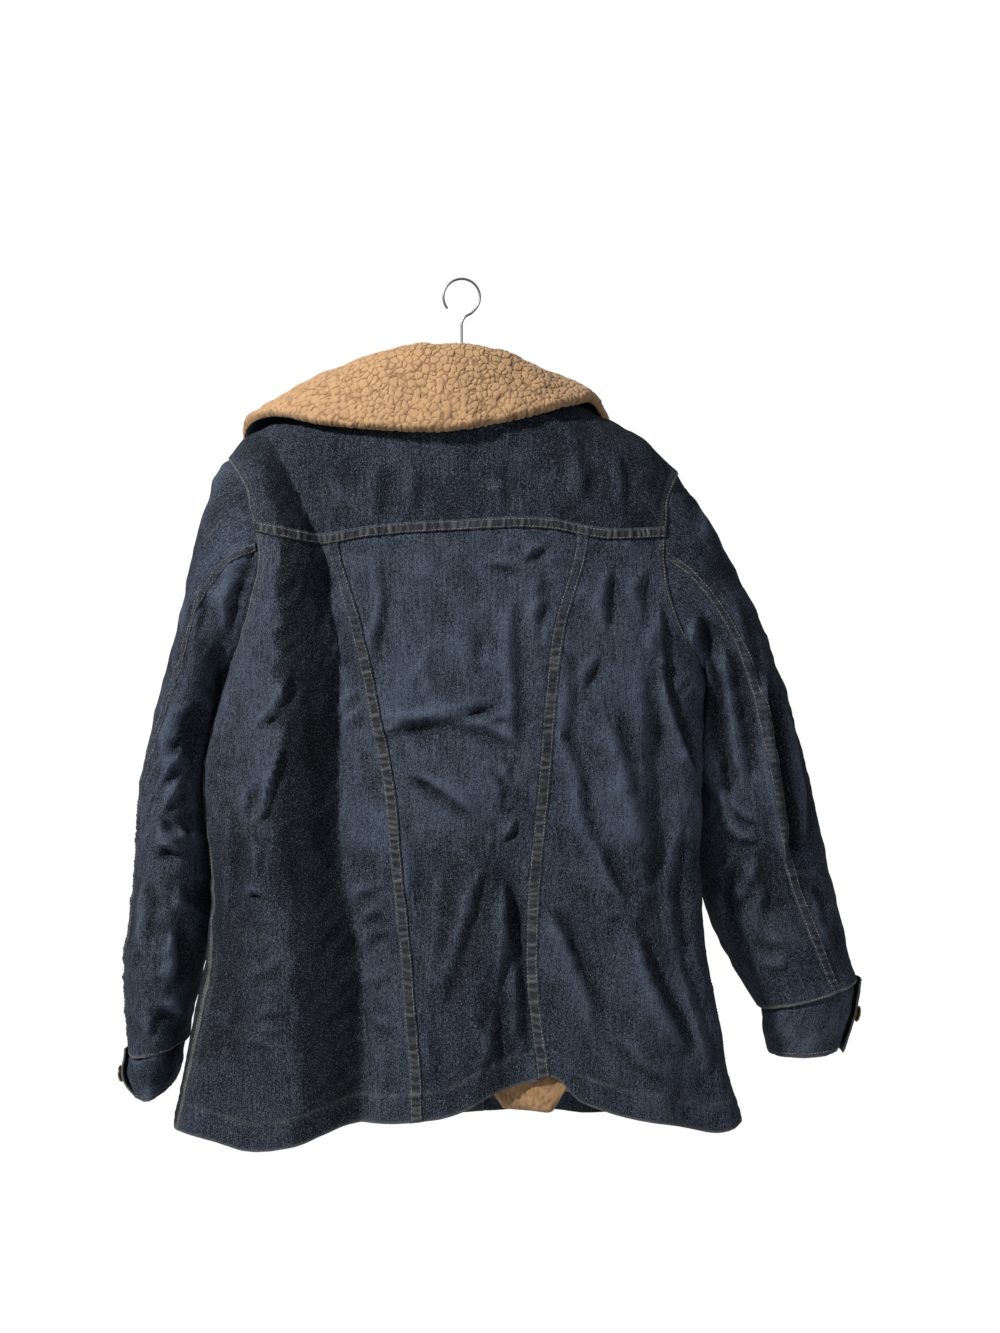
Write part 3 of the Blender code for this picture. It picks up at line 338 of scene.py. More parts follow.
# Creases: half width, height (a trough is negative) and the line they follow, as x, z.
BACK_CREASES = (
    (6, -2.6, ((-17, -295), (-43, -302), (-69, -306))),
    (6, -2.4, ((-93, -276), (-75, -288), (-58, -298))),
    (9, -2.2, ((-58, -320), (-59, -375), (-61, -429), (-60, -490))),
    (8, -3.4, ((84, -468), (40, -459), (8, -457), (-24, -464), (-72, -486))),
    (8, 2.4, ((84, -449), (30, -441), (5, -437), (-34, -424))),
    (5, -2.4, ((2, -450), (-25, -440), (-42, -430))),
    (5, -2.0, ((-26, -450), (-55, -452))),
    (9, 2.4, ((121, -465), (109, -445), (94, -427))),
    (7, -2.6, ((120, -451), (107, -433), (97, -419))),
    (7, -3.0, ((80, -279), (70, -331), (79, -367), (83, -398))),
    (9, -1.6, ((23, -273), (18, -321))),
    (7, 2.8, ((166, -390), (176, -423), (200, -457))),
    (6, -3.0, ((207, -464), (188, -451), (171, -441))),
    (5, 2.8, ((170, -464), (187, -508), (194, -538), (212, -560))),
    (6, -2.4, ((195, -498), (209, -540), (219, -562))),
    (5, 2.4, ((212, -560), (201, -579), (204, -611))),
    (4, -2.6, ((214, -628), (205, -624), (192, -628))),
    (6, 2.2, ((214, -621), (204, -616), (191, -620))),
    (6, -2.6, ((225, -715), (222, -742), (228, -761), (238, -766))),
    (6, -2.2, ((204, -746), (166, -739))),
    (6, 1.8, ((211, -755), (166, -750))),
    (6, -2.2, ((220, -770), (179, -776))),
    (8, 2.0, ((166, -676), (190, -692), (217, -710))),
    (7, -2.2, ((107, -648), (94, -626), (75, -618))),
    (7, 2.2, ((109, -661), (93, -641), (71, -631))),
    (7, -2.6, ((101, -688), (83, -669), (65, -660))),
    (8, 2.0, ((97, -714), (67, -696))),
    (7, -2.4, ((97, -747), (72, -763), (55, -760))),
    (9, -3.6, ((-28, -589), (-18, -638), (-3, -684), (8, -717), (16, -741))),
    (9, 2.6, ((-42, -607), (-39, -656), (-36, -715))),
    (8, -3.6, ((-48, -603), (-54, -651), (-61, -688), (-65, -725), (-67, -784))),
    (9, 2.8, ((-79, -634), (-100, -666), (-118, -720), (-135, -769))),
    (8, -2.8, ((-87, -625), (-110, -661), (-130, -700), (-150, -753))),
    (8, 2.4, ((-126, -559), (-147, -604), (-168, -644))),
    (7, -2.4, ((-136, -565), (-157, -607), (-175, -638))),
    (9, 2.6, ((-168, -646), (-179, -694), (-193, -727), (-221, -786))),
    (9, -2.4, ((-181, -656), (-195, -700), (-211, -735), (-237, -784))),
    (6, -2.2, ((-138, -763), (-159, -772), (-178, -795), (-219, -816))),
    (5, -1.8, ((-141, -648), (-170, -646))),
    (8, -3.0, ((-97, -451), (-113, -474), (-123, -500), (-129, -540), (-141, -587))),
    (7, -2.4, ((-144, -378), (-128, -411), (-122, -437))),
    (9, -3.0, ((-154, -291), (-151, -331), (-149, -370))),
    (12, 2.0, ((-177, -370), (-179, -488), (-183, -626))),
    (8, -2.0, ((-199, -342), (-200, -390), (-201, -429))),
    (6, 2.6, ((-197, -331), (-201, -419), (-217, -462), (-237, -512))),
    (7, -2.6, ((-207, -370), (-212, -429), (-227, -469), (-242, -508))),
    (6, -3.0, ((62, -502), (34, -516), (8, -533), (-28, -560))),
    (7, 2.2, ((52, -496), (5, -520), (-24, -546))),
    (5, -2.4, ((-39, -528), (-45, -540), (-58, -537))),
    (5, 2.6, ((-56, -543), (-48, -557), (-39, -572))),
    (6, -2.2, ((-33, -486), (-51, -492), (-55, -518))),
    (6, 2.0, ((-24, -498), (-37, -518), (-41, -540))),
    (8, 2.0, ((-98, -370), (-104, -429), (-95, -488))),
    (10, -1.8, ((-158, -429), (-177, -498), (-197, -587))),
    (9, 1.8, ((-138, -429), (-156, -498), (-177, -587))),
    (8, -2.0, ((-227, -548), (-217, -626), (-227, -705))),
    (9, 2.0, ((-213, -686), (-237, -765), (-252, -814))),
    (8, -2.0, ((-79, -291), (-87, -331), (-75, -380))),
    (10, -2.2, ((-192, -291), (-185, -321), (-187, -355))),
    (10, 1.8, ((-10, -340), (-2, -390), (-10, -429))),
    (9, -1.8, ((30, -370), (20, -429))),
    (9, -1.8, ((59, -528), (40, -587), (42, -646))),
    (10, 1.8, ((20, -587), (24, -656), (34, -735))),
    (8, -1.8, ((30, -735), (20, -784), (24, -819))),
    (8, 1.8, ((-10, -735), (-25, -765), (-20, -799))),
    (8, -2.0, ((-38, -725), (-44, -765), (-39, -804))),
    (7, -1.8, ((252, -597), (245, -656), (249, -715))),
    (7, 1.8, ((235, -528), (231, -587), (237, -656))),
    (9, -2.2, ((128, -331), (114, -370), (107, -419))),
    (8, 1.8, ((109, -331), (95, -380), (89, -429))),
    (9, -2.0, ((40, -188), (36, -222), (42, -257))),
    (9, 1.8, ((79, -183), (87, -222), (79, -257))),
    (10, -2.0, ((-39, -183), (-49, -222), (-44, -252))),
    (10, 2.0, ((-108, -173), (-118, -212), (-110, -247))),
    (9, -1.8, ((-158, -173), (-169, -212), (-166, -252))),
)
FRONT_CREASES = (
    (9, 3.0, ((-190, -300), (-160, -330), (-120, -345))),
    (8, -3.0, ((-196, -320), (-165, -350), (-118, -362))),
    (8, -2.6, ((-215, -420), (-180, -450), (-150, -500))),
    (9, 2.6, ((-205, -440), (-172, -475), (-140, -530))),
    (8, -3.0, ((-60, -300), (-75, -360), (-70, -430))),
    (8, 2.4, ((-85, -480), (-110, -500), (-150, -505))),
    (7, -2.6, ((-90, -492), (-118, -514), (-150, -518))),
    (9, -3.0, ((-150, -560), (-160, -640), (-150, -720), (-160, -800))),
    (9, 2.8, ((-125, -600), (-132, -700), (-128, -790))),
    (8, -2.4, ((-60, -600), (-70, -680), (-60, -760))),
    (8, -2.4, ((-200, -640), (-215, -720), (-222, -800))),
    (9, 3.0, ((195, -290), (165, -325), (120, -340))),
    (8, -3.0, ((198, -312), (168, -345), (116, -358))),
    (8, -2.8, ((60, -290), (72, -350), (66, -420))),
    (8, 2.4, ((84, -470), (112, -484), (150, -480))),
    (7, -2.6, ((82, -482), (114, -499), (152, -496))),
    (8, -2.6, ((210, -430), (180, -470), (160, -530))),
    (9, -3.0, ((120, -560), (132, -640), (124, -720), (130, -810))),
    (9, 2.8, ((160, -590), (168, -690), (158, -800))),
    (8, -2.4, ((60, -620), (66, -700), (56, -790))),
    (8, -2.4, ((205, -620), (220, -720), (226, -800))),
)
LEFT_SLEEVE_CREASES = (
    (6, 2.0, ((219, -216), (226, -227))),
    (6, 1.8, ((212, -241), (220, -252))),
    (9, 3.0, ((203, -269), (215, -285), (230, -297), (238, -315))),
    (9, -3.5, ((200, -289), (212, -304), (222, -329), (230, -370))),
    (6, 2.2, ((256, -314), (261, -335), (268, -368))),
    (7, -2.4, ((264, -319), (270, -341), (275, -375))),
    (6, 2.0, ((283, -370), (290, -390), (284, -412))),
    (10, -4.0, ((255, -430), (273, -450), (283, -475), (291, -505))),
    (7, 3.2, ((277, -475), (291, -495), (303, -520))),
    (7, 3.2, ((278, -498), (293, -531), (300, -546))),
    (6, -3.6, ((303, -546), (293, -557), (281, -569))),
    (6, 3.6, ((313, -573), (299, -571), (286, -579), (274, -576))),
    (5, 2.6, ((285, -557), (276, -572))),
    (7, -3.0, ((313, -587), (295, -585), (277, -589))),
    (10, -3.0, ((263, -430), (267, -470), (273, -520))),
    (9, 2.6, ((293, -646), (293, -692), (303, -735))),
    (9, -2.6, ((281, -651), (279, -692), (287, -732))),
    (8, -2.6, ((313, -601), (311, -651), (317, -692))),
    (8, -3.0, ((315, -740), (303, -748), (289, -759))),
    (8, 2.6, ((305, -734), (293, -742), (283, -752))),
    (7, 2.0, ((323, -742), (317, -762), (319, -780))),
    (7, 2.4, ((267, -531), (263, -561), (259, -591))),
    (7, -2.2, ((283, -611), (273, -631), (259, -646))),
)
RIGHT_SLEEVE_CREASES = (
    (12, -9.0, ((-238, -340), (-246, -361), (-252, -395))),
    (9, -7.0, ((-248, -379), (-257, -420), (-262, -461), (-273, -523), (-277, -539))),
    (9, 3.5, ((-261, -369), (-269, -420), (-279, -472), (-289, -523))),
    (8, -7.0, ((-312, -398), (-319, -451), (-329, -510), (-339, -556), (-340, -607))),
    (9, 3.4, ((-328, -420), (-337, -472), (-349, -533), (-353, -584))),
    (9, 2.6, ((-300, -420), (-308, -461), (-318, -523), (-326, -564))),
    (6, -3.4, ((-267, -533), (-291, -558), (-317, -563))),
    (7, 3.0, ((-267, -547), (-287, -570), (-312, -576))),
    (12, 4.0, ((-304, -579), (-298, -605), (-287, -641))),
    (9, -2.8, ((-287, -584), (-278, -615), (-275, -641))),
    (8, -2.6, ((-321, -595), (-318, -636), (-308, -677))),
    (8, 2.4, ((-306, -699), (-326, -705), (-348, -699))),
    (8, -2.4, ((-298, -685), (-321, -689), (-343, -683))),
    (8, 2.2, ((-359, -615), (-369, -666), (-380, -702))),
    (8, -2.4, ((-347, -369), (-353, -390), (-359, -431))),
    (7, 2.0, ((-234, -205), (-244, -236), (-248, -267))),
    (8, -2.0, ((-250, -226), (-259, -267), (-269, -297))),
    (7, 1.8, ((-271, -318), (-283, -369), (-296, -420))),
    (8, -2.2, ((-280, -595), (-294, -620), (-311, -630))),
    (8, 2.0, ((-260, -615), (-269, -661), (-287, -702))),
    (8, -2.0, ((-384, -641), (-394, -682), (-398, -712))),
)
# On the sides of the sleeves that face the front
SLEEVE_FRONT_CREASES = (
    (8, -3.0, ((255, -300), (275, -320), (290, -330))),
    (9, -3.2, ((262, -520), (290, -540), (325, -545))),
    (8, 3.0, ((262, -545), (295, -560), (328, -560))),
    (8, -3.0, ((268, -575), (300, -585), (330, -580))),
    (8, -2.6, ((280, -660), (300, -700), (290, -740))),
    (8, -3.0, ((-262, -300), (-282, -325), (-300, -340))),
    (9, -3.2, ((-262, -520), (-300, -540), (-350, -535))),
    (8, 3.0, ((-265, -545), (-305, -562), (-352, -555))),
    (8, -3.0, ((-272, -585), (-310, -598), (-360, -585))),
    (8, -2.6, ((-320, -640), (-345, -690), (-340, -720))),
)

# ---------------------------------------------------------------- curves


def through(places, values):
    """A smooth function that passes through the values at the places, which rise."""
    places = np.asarray(places, float)
    values = np.asarray(values, float)
    slopes = np.gradient(values, places, axis=0)

    def at(where):
        where = np.clip(np.asarray(where, float), places[0], places[-1])
        k = np.clip(np.searchsorted(places, where, side="right") - 1, 0, len(places) - 2)
        span = places[k + 1] - places[k]
        t = (where - places[k]) / span
        if values.ndim > 1:
            span, t = span[..., None], t[..., None]
        start = (1 + 2 * t) * (1 - t) ** 2 * values[k] + t * (1 - t) ** 2 * span * slopes[k]
        end = t**2 * (3 - 2 * t) * values[k + 1] + t**2 * (t - 1) * span * slopes[k + 1]
        return start + end

    return at


def columns_of(table):
    """The table's first column, and a smooth function of it for each other column."""
    rows = np.asarray(table, float)
    return [through(rows[:, 0], rows[:, k]) for k in range(1, rows.shape[1])]


left_edge, right_edge, back_depth, front_depth = columns_of(BODY)
(shoulder_z,) = columns_of(SHOULDER)
(armhole_left,) = columns_of(ARMHOLE_LEFT)
(armhole_right,) = columns_of(ARMHOLE_RIGHT)
seam_left, seam_right = columns_of(LONG_SEAMS)
(yoke_z,) = columns_of(YOKE_SEAM)
(hem_back_z,) = columns_of(HEM_BACK)
(hem_front_z,) = columns_of(HEM_FRONT)
(side_seam_left_y,) = columns_of(SIDE_SEAM_LEFT)
(side_seam_right_y,) = columns_of(SIDE_SEAM_RIGHT)
pleat_at = columns_of(PLEAT)


def ease(t):
    t = np.clip(t, 0, 1)
    return t * t * (3 - 2 * t)


def unit(vectors):
    """The vectors along the last axis at length 1."""
    return vectors / np.maximum(np.linalg.norm(vectors, axis=-1, keepdims=True), 1e-9)


def pleat(x, z):
    """The back's deep pleat: it slopes from the crest to a sharp valley, towards the middle of the back."""
    crest, valley, rise, drop = (column(z) for column in pleat_at)
    t = (crest - x) / (crest - valley)
    outer = rise * np.exp(-((np.minimum(t, 0) * (crest - valley) / PLEAT_OUTER) ** 2))
    slope = rise - (rise + drop) * np.clip(t, 0, 1) ** 1.35
    inner = -drop * np.exp(-np.maximum(valley - x, 0) / PLEAT_INNER)
    return np.where(t < 0, outer, np.where(t < 1, slope, inner))


# ---------------------------------------------------------------- the body's surface


def folds_at(x, z, folds):
    """How far the folds push the cloth out at (x, z)."""
    out = np.zeros(np.broadcast(x, z).shape)
    for x0, z0, x1, z1, half_width, height, bow in folds:
        length = math.hypot(x1 - x0, z1 - z0)
        ux, uz = (x1 - x0) / length, (z1 - z0) / length
        along = (x - x0) * ux + (z - z0) * uz
        t = np.clip(along / length, 0, 1)
        off = (x - x0) * uz - (z - z0) * ux - 4 * bow * t * (1 - t)
        ends = ease(along / FOLD_FADE) * ease((length - along) / FOLD_FADE)
        out = out + height * ends * np.exp(-((off / half_width) ** 2))
    return out


def half_and_mid(z):
    return (left_edge(z) - right_edge(z)) / 2, (left_edge(z) + right_edge(z)) / 2


def body_x(turn, z):
    half, mid = half_and_mid(z)
    c = np.cos(turn)
    return mid + half * np.sign(c) * np.abs(c) ** (2 / ROUNDNESS)


def body(turn, z):
    """The coat's outer face. turn is 0 at the left side, a quarter turn behind and minus that in front."""
    x = body_x(turn, z)
    s = np.sin(turn)
    depth = np.where(s > 0, back_depth(z), front_depth(z))
    full = depth * np.sign(s) * np.abs(s) ** (2 / ROUNDNESS)
    half, mid = half_and_mid(z)
    flat = 1 - np.abs((x - mid) / half) ** 8
    pushed = folds_at(x, z, BACK_FOLDS) + pleat(x, z)
    full = full + flat * np.where(s > 0, pushed, -folds_at(x, z, FRONT_FOLDS))
    rise = np.clip((z - shoulder_z(x)) / SHOULDER_ROUND + 1, 0, 1)
    y = RIDGE_Y * (1 - np.sqrt(1 - rise**2)) + full * np.sqrt(1 - rise**2)
    return np.stack(np.broadcast_arrays(x, y, z), axis=-1)


def turn_at_x(x, z, side):
    """The turn where the back (side 1) or the front (side -1) has this x."""
    half, mid = half_and_mid(z)
    t = np.clip((x - mid) / half, -1, 1)
    return side * np.arccos(np.sign(t) * np.abs(t) ** (ROUNDNESS / 2))


def turn_at_side(y, z):
    """The small turn from a side edge to the point at this y."""
    depth = np.where(y > 0, back_depth(z), front_depth(z))
    return np.sign(y) * np.arcsin(np.clip(np.abs(y) / depth, 0, 1) ** (ROUNDNESS / 2))


def slopes_normal(surface, a, b, step_a, step_b):
    """Unit normals of surface(a, b), from points on both sides."""
    across = surface(a + step_a, b) - surface(a - step_a, b)
    along = surface(a, b + step_b) - surface(a, b - step_b)
    return unit(np.cross(across, along))


def body_normal(turn, z):
    """Pointing out of the coat."""
    below = np.minimum(z, shoulder_z(body_x(turn, z)) - STEP)
    return slopes_normal(body, turn, below, 0.004, STEP)


def neck_back_z(x):
    """The neck seam on the back: an oval in plan, laid on the cloth."""
    u = np.clip((x - NECK_MID) / NECK_HALF, -1, 1)
    half, mid = half_and_mid(NECK_BACK_Z)
    across = np.clip(np.abs((x - mid) / half), 0, 1)
    full = back_depth(NECK_BACK_Z) * (1 - across**ROUNDNESS) ** (1 / ROUNDNESS)
    share = NECK_BACK * np.sqrt(1 - u**2) / (full - RIDGE_Y)
    return shoulder_z(x) - SHOULDER_ROUND * (1 - np.sqrt(1 - np.clip(share, 0, 1) ** 2))


def neck_front_z(x):
    u = np.clip(np.abs(x - NECK_MID) / NECK_HALF, 0, 1)
    side = shoulder_z(NECK_MID + np.sign(x - NECK_MID) * NECK_HALF)
    return NECK_FRONT_Z + (side - NECK_FRONT_Z) * u**2.2


def in_neck(x):
    return np.abs(x - NECK_MID) < NECK_HALF


def top_back(x):
    return np.where(in_neck(x), neck_back_z(x), shoulder_z(x)) - RIDGE_DROP


def top_front(x):
    return np.where(in_neck(x), neck_front_z(x), shoulder_z(x)) - RIDGE_DROP


# ---------------------------------------------------------------- columns of the back and the front


def outer_turn(z, side, left):
    """The outer edge of a panel: the armhole, and below it the side seam. side is 1 on the back."""
    seam = armhole_left(z) if left else armhole_right(z)
    share = np.clip((z - UNDERARM_Z) / (-190 - UNDERARM_Z), 0, 1)
    if side < 0:
        seam = seam - np.sign(seam) * ARMHOLE_FRONT_INSET * np.sin(np.pi * share)
    upper = turn_at_x(seam, z, side)
    low = turn_at_side(side_seam_left_y(z) if left else side_seam_right_y(z), z)
    if not left:
        low = side * np.pi - low
    return np.where(z > UNDERARM_Z, upper, low)


def back_marks(z):
    """Turns of the back's edges and long seams, with the seams' margins, from the left to the right."""
    marks = [outer_turn(z, 1, True)]
    for seam in (seam_left(z), seam_right(z)):
        marks += [turn_at_x(seam + d, z, 1) for d in (LAP_HALF, 0, -LAP_HALF)]
    marks.append(outer_turn(z, 1, False))
    return np.stack(np.broadcast_arrays(*marks))


def front_marks(z, left):
    """Turns of one front's side, buttoning strip and edge, from the side to past the middle."""
    sign = 1 if left else -1
    inner = [sign * d for d in ((96, 44, 30, 0) if left else (94, 46, 28, 0))] + [-sign * FRONT_OVERLAP]
    neck_point = NECK_MID + sign * NECK_HALF
    down = ease((z - NECK_FRONT_Z) / (-104 - NECK_FRONT_Z))
    inner[0] = inner[0] + (neck_point - inner[0]) * down
    marks = [outer_turn(z, -1, left)] + [turn_at_x(x, z, -1) for x in inner]
    return np.stack(np.broadcast_arrays(*marks))


def round_armhole(degrees, top, left):
    """Turns and heights round an armhole: 0 is the shoulder, 180 the underarm, and 0 to 180 is the back."""
    degrees = (degrees + 180) % 360 - 180
    z = (top + UNDERARM_Z) / 2 + (top - UNDERARM_Z) / 2 * np.cos(np.radians(degrees))
    z = np.clip(z, UNDERARM_Z + 0.01, top - 0.01)
    return np.where(degrees >= 0, outer_turn(z, 1, left), outer_turn(z, -1, left)), z


# ---------------------------------------------------------------- the sleeves' surface


class Sleeve:
    """A sleeve as a surface over degrees round it and rows along it."""

    def __init__(self, table, left):
        rows = np.asarray(table, float)
        self.left = left
        self.rows = len(rows) - 1
        self.section = through(np.arange(len(rows)), rows)
        hold = np.zeros(len(rows))
        hold[: len(ARMHOLE_HOLD)] = ARMHOLE_HOLD
        self.hold = through(np.arange(len(rows)), hold)

    def armhole(self, degrees):
        """Turns and heights of the body's armhole at these degrees."""
        return round_armhole(degrees, self.section(0.0)[1], self.left)

    def oval(self, degrees, row):
        ox, oz, ix, iz, y, half_depth = np.moveaxis(self.section(row)[..., :6], -1, 0)
        c, s = np.cos(np.radians(degrees)), np.sin(np.radians(degrees))
        x = (ox + ix) / 2 + (ox - ix) / 2 * c
        z = (oz + iz) / 2 + (oz - iz) / 2 * c
        return np.stack(np.broadcast_arrays(x, y + half_depth * s, z), axis=-1)

    def __call__(self, degrees, row):
        hold = self.hold(row)[..., None]
        start = self.oval(degrees, np.zeros_like(row))
        return self.oval(degrees, row) + hold * (body(*self.armhole(degrees)) - start)

    def begin(self, degrees, row):
        """The rows, with the first one just outside the armhole."""
        row = np.broadcast_to(row, degrees.shape).copy()
        first = degrees[:, 0]
        near = self(first, np.full(first.shape, 0.1)) - self(first, np.zeros(first.shape))
        row[:, 0] = ARMHOLE_GAP * 0.1 / np.linalg.norm(near, axis=-1)
        return row

    def normal(self, degrees, row):
        row = np.clip(row, 0.05, self.rows - 0.05)
        normal = slopes_normal(self, degrees, row, 1.0, 0.05)
        return -normal if self.left else normal


class Cuff:
    """A cuff as a surface over degrees round it and 0 to 1 down it. Its end laps over its start."""

    def __init__(self, table, left):
        rows = np.asarray(table, float)
        self.left = left
        self.section = through(np.linspace(0, 1, len(rows)), rows)
        (self.lift,) = columns_of(CUFF_LIFT)

    __call__ = Sleeve.oval

    def normal(self, degrees, row):
        normal = slopes_normal(self, degrees, np.clip(row, 0.03, 0.97), 1.0, 0.03)
        return -normal if self.left else normal


# ---------------------------------------------------------------- the collar's surface


def collar_rows():
    """Neck seam, fold and edge along the collar, as one smooth function of the row."""
    rows = []
    for neck_x, side, *rest in COLLAR:
        z = neck_back_z(neck_x) if side > 0 else neck_front_z(neck_x)
        turn, z = turn_at_x(neck_x, z, side), np.asarray(z, float)
        neck = body(turn, z) + body_normal(turn, z) * (COLLAR_LIFT_FRONT if side < 0 else 0)
        neck[2] += SEAM_GAP
        rows.append([*neck, *rest])
    return through(np.arange(len(rows)), rows)


def collar(place, share):
    """The face between under collar and sherpa. share runs from 0 at the neck seam to 1 at the edge."""
    row = collar_rows_at(place)
    neck, fold, edge = row[..., 0:3], row[..., 3:6], row[..., 6:9]
    out = unit((edge - fold) * (1, 1, 0.15))
    up = np.array([0.0, 0.0, 1.0])
    height = np.linalg.norm(fold - neck, axis=-1, keepdims=True)
    stand = (
        neck,
        neck + np.minimum(STAND_RISE, 0.4 * height) * up,
        fold - np.minimum(FOLD_TURN, 0.35 * height) * out,
        fold,
    )
    fall = (fold, fold + 1.3 * FOLD_TURN * out, edge + 0.38 * (fold - edge) + 9 * up + 2 * out, edge)
    s = share[..., None]
    standing, falling = bezier(stand, s / FOLD_SHARE), bezier(fall, (s - FOLD_SHARE) / (1 - FOLD_SHARE))
    return np.where(s < FOLD_SHARE, standing, falling)


def bezier(points, t):
    t = np.clip(t, 0, 1)
    a, b, c, d = points
    return (1 - t) ** 3 * a + 3 * t * (1 - t) ** 2 * b + 3 * t * t * (1 - t) * c + t**3 * d


def collar_normal(place, share):
    """Pointing out of the sherpa's face: into the neck, up at the fold, and out at the edge."""
    place = np.clip(place, 0.05, len(COLLAR) - 1.05)
    return -slopes_normal(collar, place, np.clip(share, 0.02, 0.98), 0.05, 0.02)


collar_rows_at = collar_rows()



# ---------------------------------------------------------------- creases, ripples and puckers


def creases_at(x, z, creases):
    """Height of the creases at (x, z): sharp lines with pointed ends, and a lip along one side of each."""
    x, z = np.broadcast_arrays(x, z)
    out = np.zeros(x.shape)
    for half, height, line in creases:
        line = np.array(line, float)
        low, high = line.min(axis=0) - 3 * half, line.max(axis=0) + 3 * half
        near = (x > low[0]) & (x < high[0]) & (z > low[1]) & (z < high[1])
        if not near.any():
            continue
        px, pz = x[near], z[near]
        best = np.full(px.shape, 1e9)
        along, side = np.zeros(px.shape), np.zeros(px.shape)
        start = 0.0
        whole = line[-1] - line[0]
        lip_side = math.copysign(1.0, (whole[1] - whole[0]) * -height)
        for a, b in zip(line, line[1:]):
            run = b - a
            length = math.hypot(*run)
            t = np.clip(((px - a[0]) * run[0] + (pz - a[1]) * run[1]) / length**2, 0, 1)
            away = np.hypot(px - a[0] - t * run[0], pz - a[1] - t * run[1])
            closer = away < best
            along = np.where(closer, start + t * length, along)
            side = np.where(closer, (px - a[0]) * run[1] - (pz - a[1]) * run[0], side)
            best = np.minimum(best, away)
            start += length
        fade = min(CREASE_FADE, 0.5 * start)
        ends = ease(along / fade) * ease((start - along) / fade)
        off = best / (half * (0.4 + 0.6 * ends))
        line_itself = np.exp(-1.6 * (np.sqrt(off**2 + 0.02) - 0.14))
        lip = LIP * np.exp(-(((off * np.sign(side) * lip_side - LIP_AWAY) / LIP_WIDTH) ** 2))
        out[near] += height * ends * (line_itself - lip)
    return out


def ripples(points, seed, shortest, longest, count=22):
    """Soft uneven waves through space, about 1 high, that run on from piece to piece."""
    dice = np.random.RandomState(seed)
    out = np.zeros(points.shape[:-1])
    for _ in range(count):
        direction = dice.normal(size=3)
        direction *= 2 * math.pi / (np.linalg.norm(direction) * dice.uniform(shortest, longest))
        out += np.sin(points @ direction + dice.uniform(0, 2 * math.pi))
    return out / math.sqrt(count)


def crumple(points, seed, shortest, longest):
    """Low ridges and flats, like cloth that was folded away, about 1 high."""
    waves = ripples(points, seed, shortest, longest, 14)
    return 1.2 - 2.0 * np.sqrt(waves**2 + 0.02)


def pucker(along, across=0.0, seed=0):
    """Uneven puckers across a stitched seam: from 0 between them to 1 on the strongest."""
    dice = np.random.RandomState(100 + seed)
    at = -1000 + np.cumsum(dice.uniform(*PUCKER_APART, PUCKERS))
    height, width = dice.uniform(0.15, 1.0, PUCKERS), dice.uniform(*PUCKER_WIDTH, PUCKERS)
    slant = dice.uniform(-0.3, 0.3, PUCKERS)
    along, across = np.broadcast_arrays(along, across)
    found = np.zeros(along.shape)
    after = np.clip(np.searchsorted(at, along), 1, PUCKERS - 1)
    for pick in (after - 1, after):
        off = along - at[pick] - slant[pick] * across
        found = np.maximum(found, height[pick] * np.exp(-((off / width[pick]) ** 2)))
    return found


def normals_of(points, outward):
    """Normals of a grid of points, on the side that outward is on."""
    found = unit(np.cross(np.gradient(points, axis=0), np.gradient(points, axis=1)))
    return found * np.sign((found * outward).sum(axis=-1, keepdims=True) + 1e-12)


def seams_beside(x, z):
    """The cloth's puckers beside the long seams and the yoke's seam."""
    out = np.zeros(np.shape(x))
    for k, seam in enumerate((seam_left, seam_right)):
        away = np.abs(x - seam(z)) - LAP_HALF
        below = ease((yoke_z(x) - z) / 6)
        out = out + below * np.exp(-np.maximum(away, 0) / 8) * 0.8 * (pucker(z, away, k) - PUCKER_MEAN)
    away = np.abs(z - yoke_z(x) - YOKE_LAP / 2) - YOKE_LAP / 2
    out = out + np.exp(-np.maximum(away, 0) / 8) * 0.9 * (pucker(x, away, 5) - PUCKER_MEAN)
    above_hem = z - hem_back_z(x) - HEM_DEPTH
    return out + np.exp(-np.abs(above_hem) / 9) * 0.9 * (pucker(x, above_hem, 7) - PUCKER_MEAN)


def coat(turn, z):
    """The body's outer face with its creases, and the direction out of it."""
    turn, z = np.broadcast_arrays(turn, z)
    points, out = body(turn, z), body_normal(turn, z)
    x = points[..., 0]
    facing = ease(np.abs(out[..., 1]) * 1.6)
    back = CREASE_LIMIT * np.tanh(BODY_CREASED * creases_at(x, z, BACK_CREASES) / CREASE_LIMIT)
    back += seams_beside(x, z)
    lift = facing * np.where(np.sin(turn) > 0, back, BODY_CREASED * creases_at(x, z, FRONT_CREASES))
    lift += sum(height * crumple(points, *how) for height, *how in BODY_CRUMPLES)
    lift += UNEVEN * ripples(points, 8, 80, 190)
    return points + out * lift[..., None], out, lift


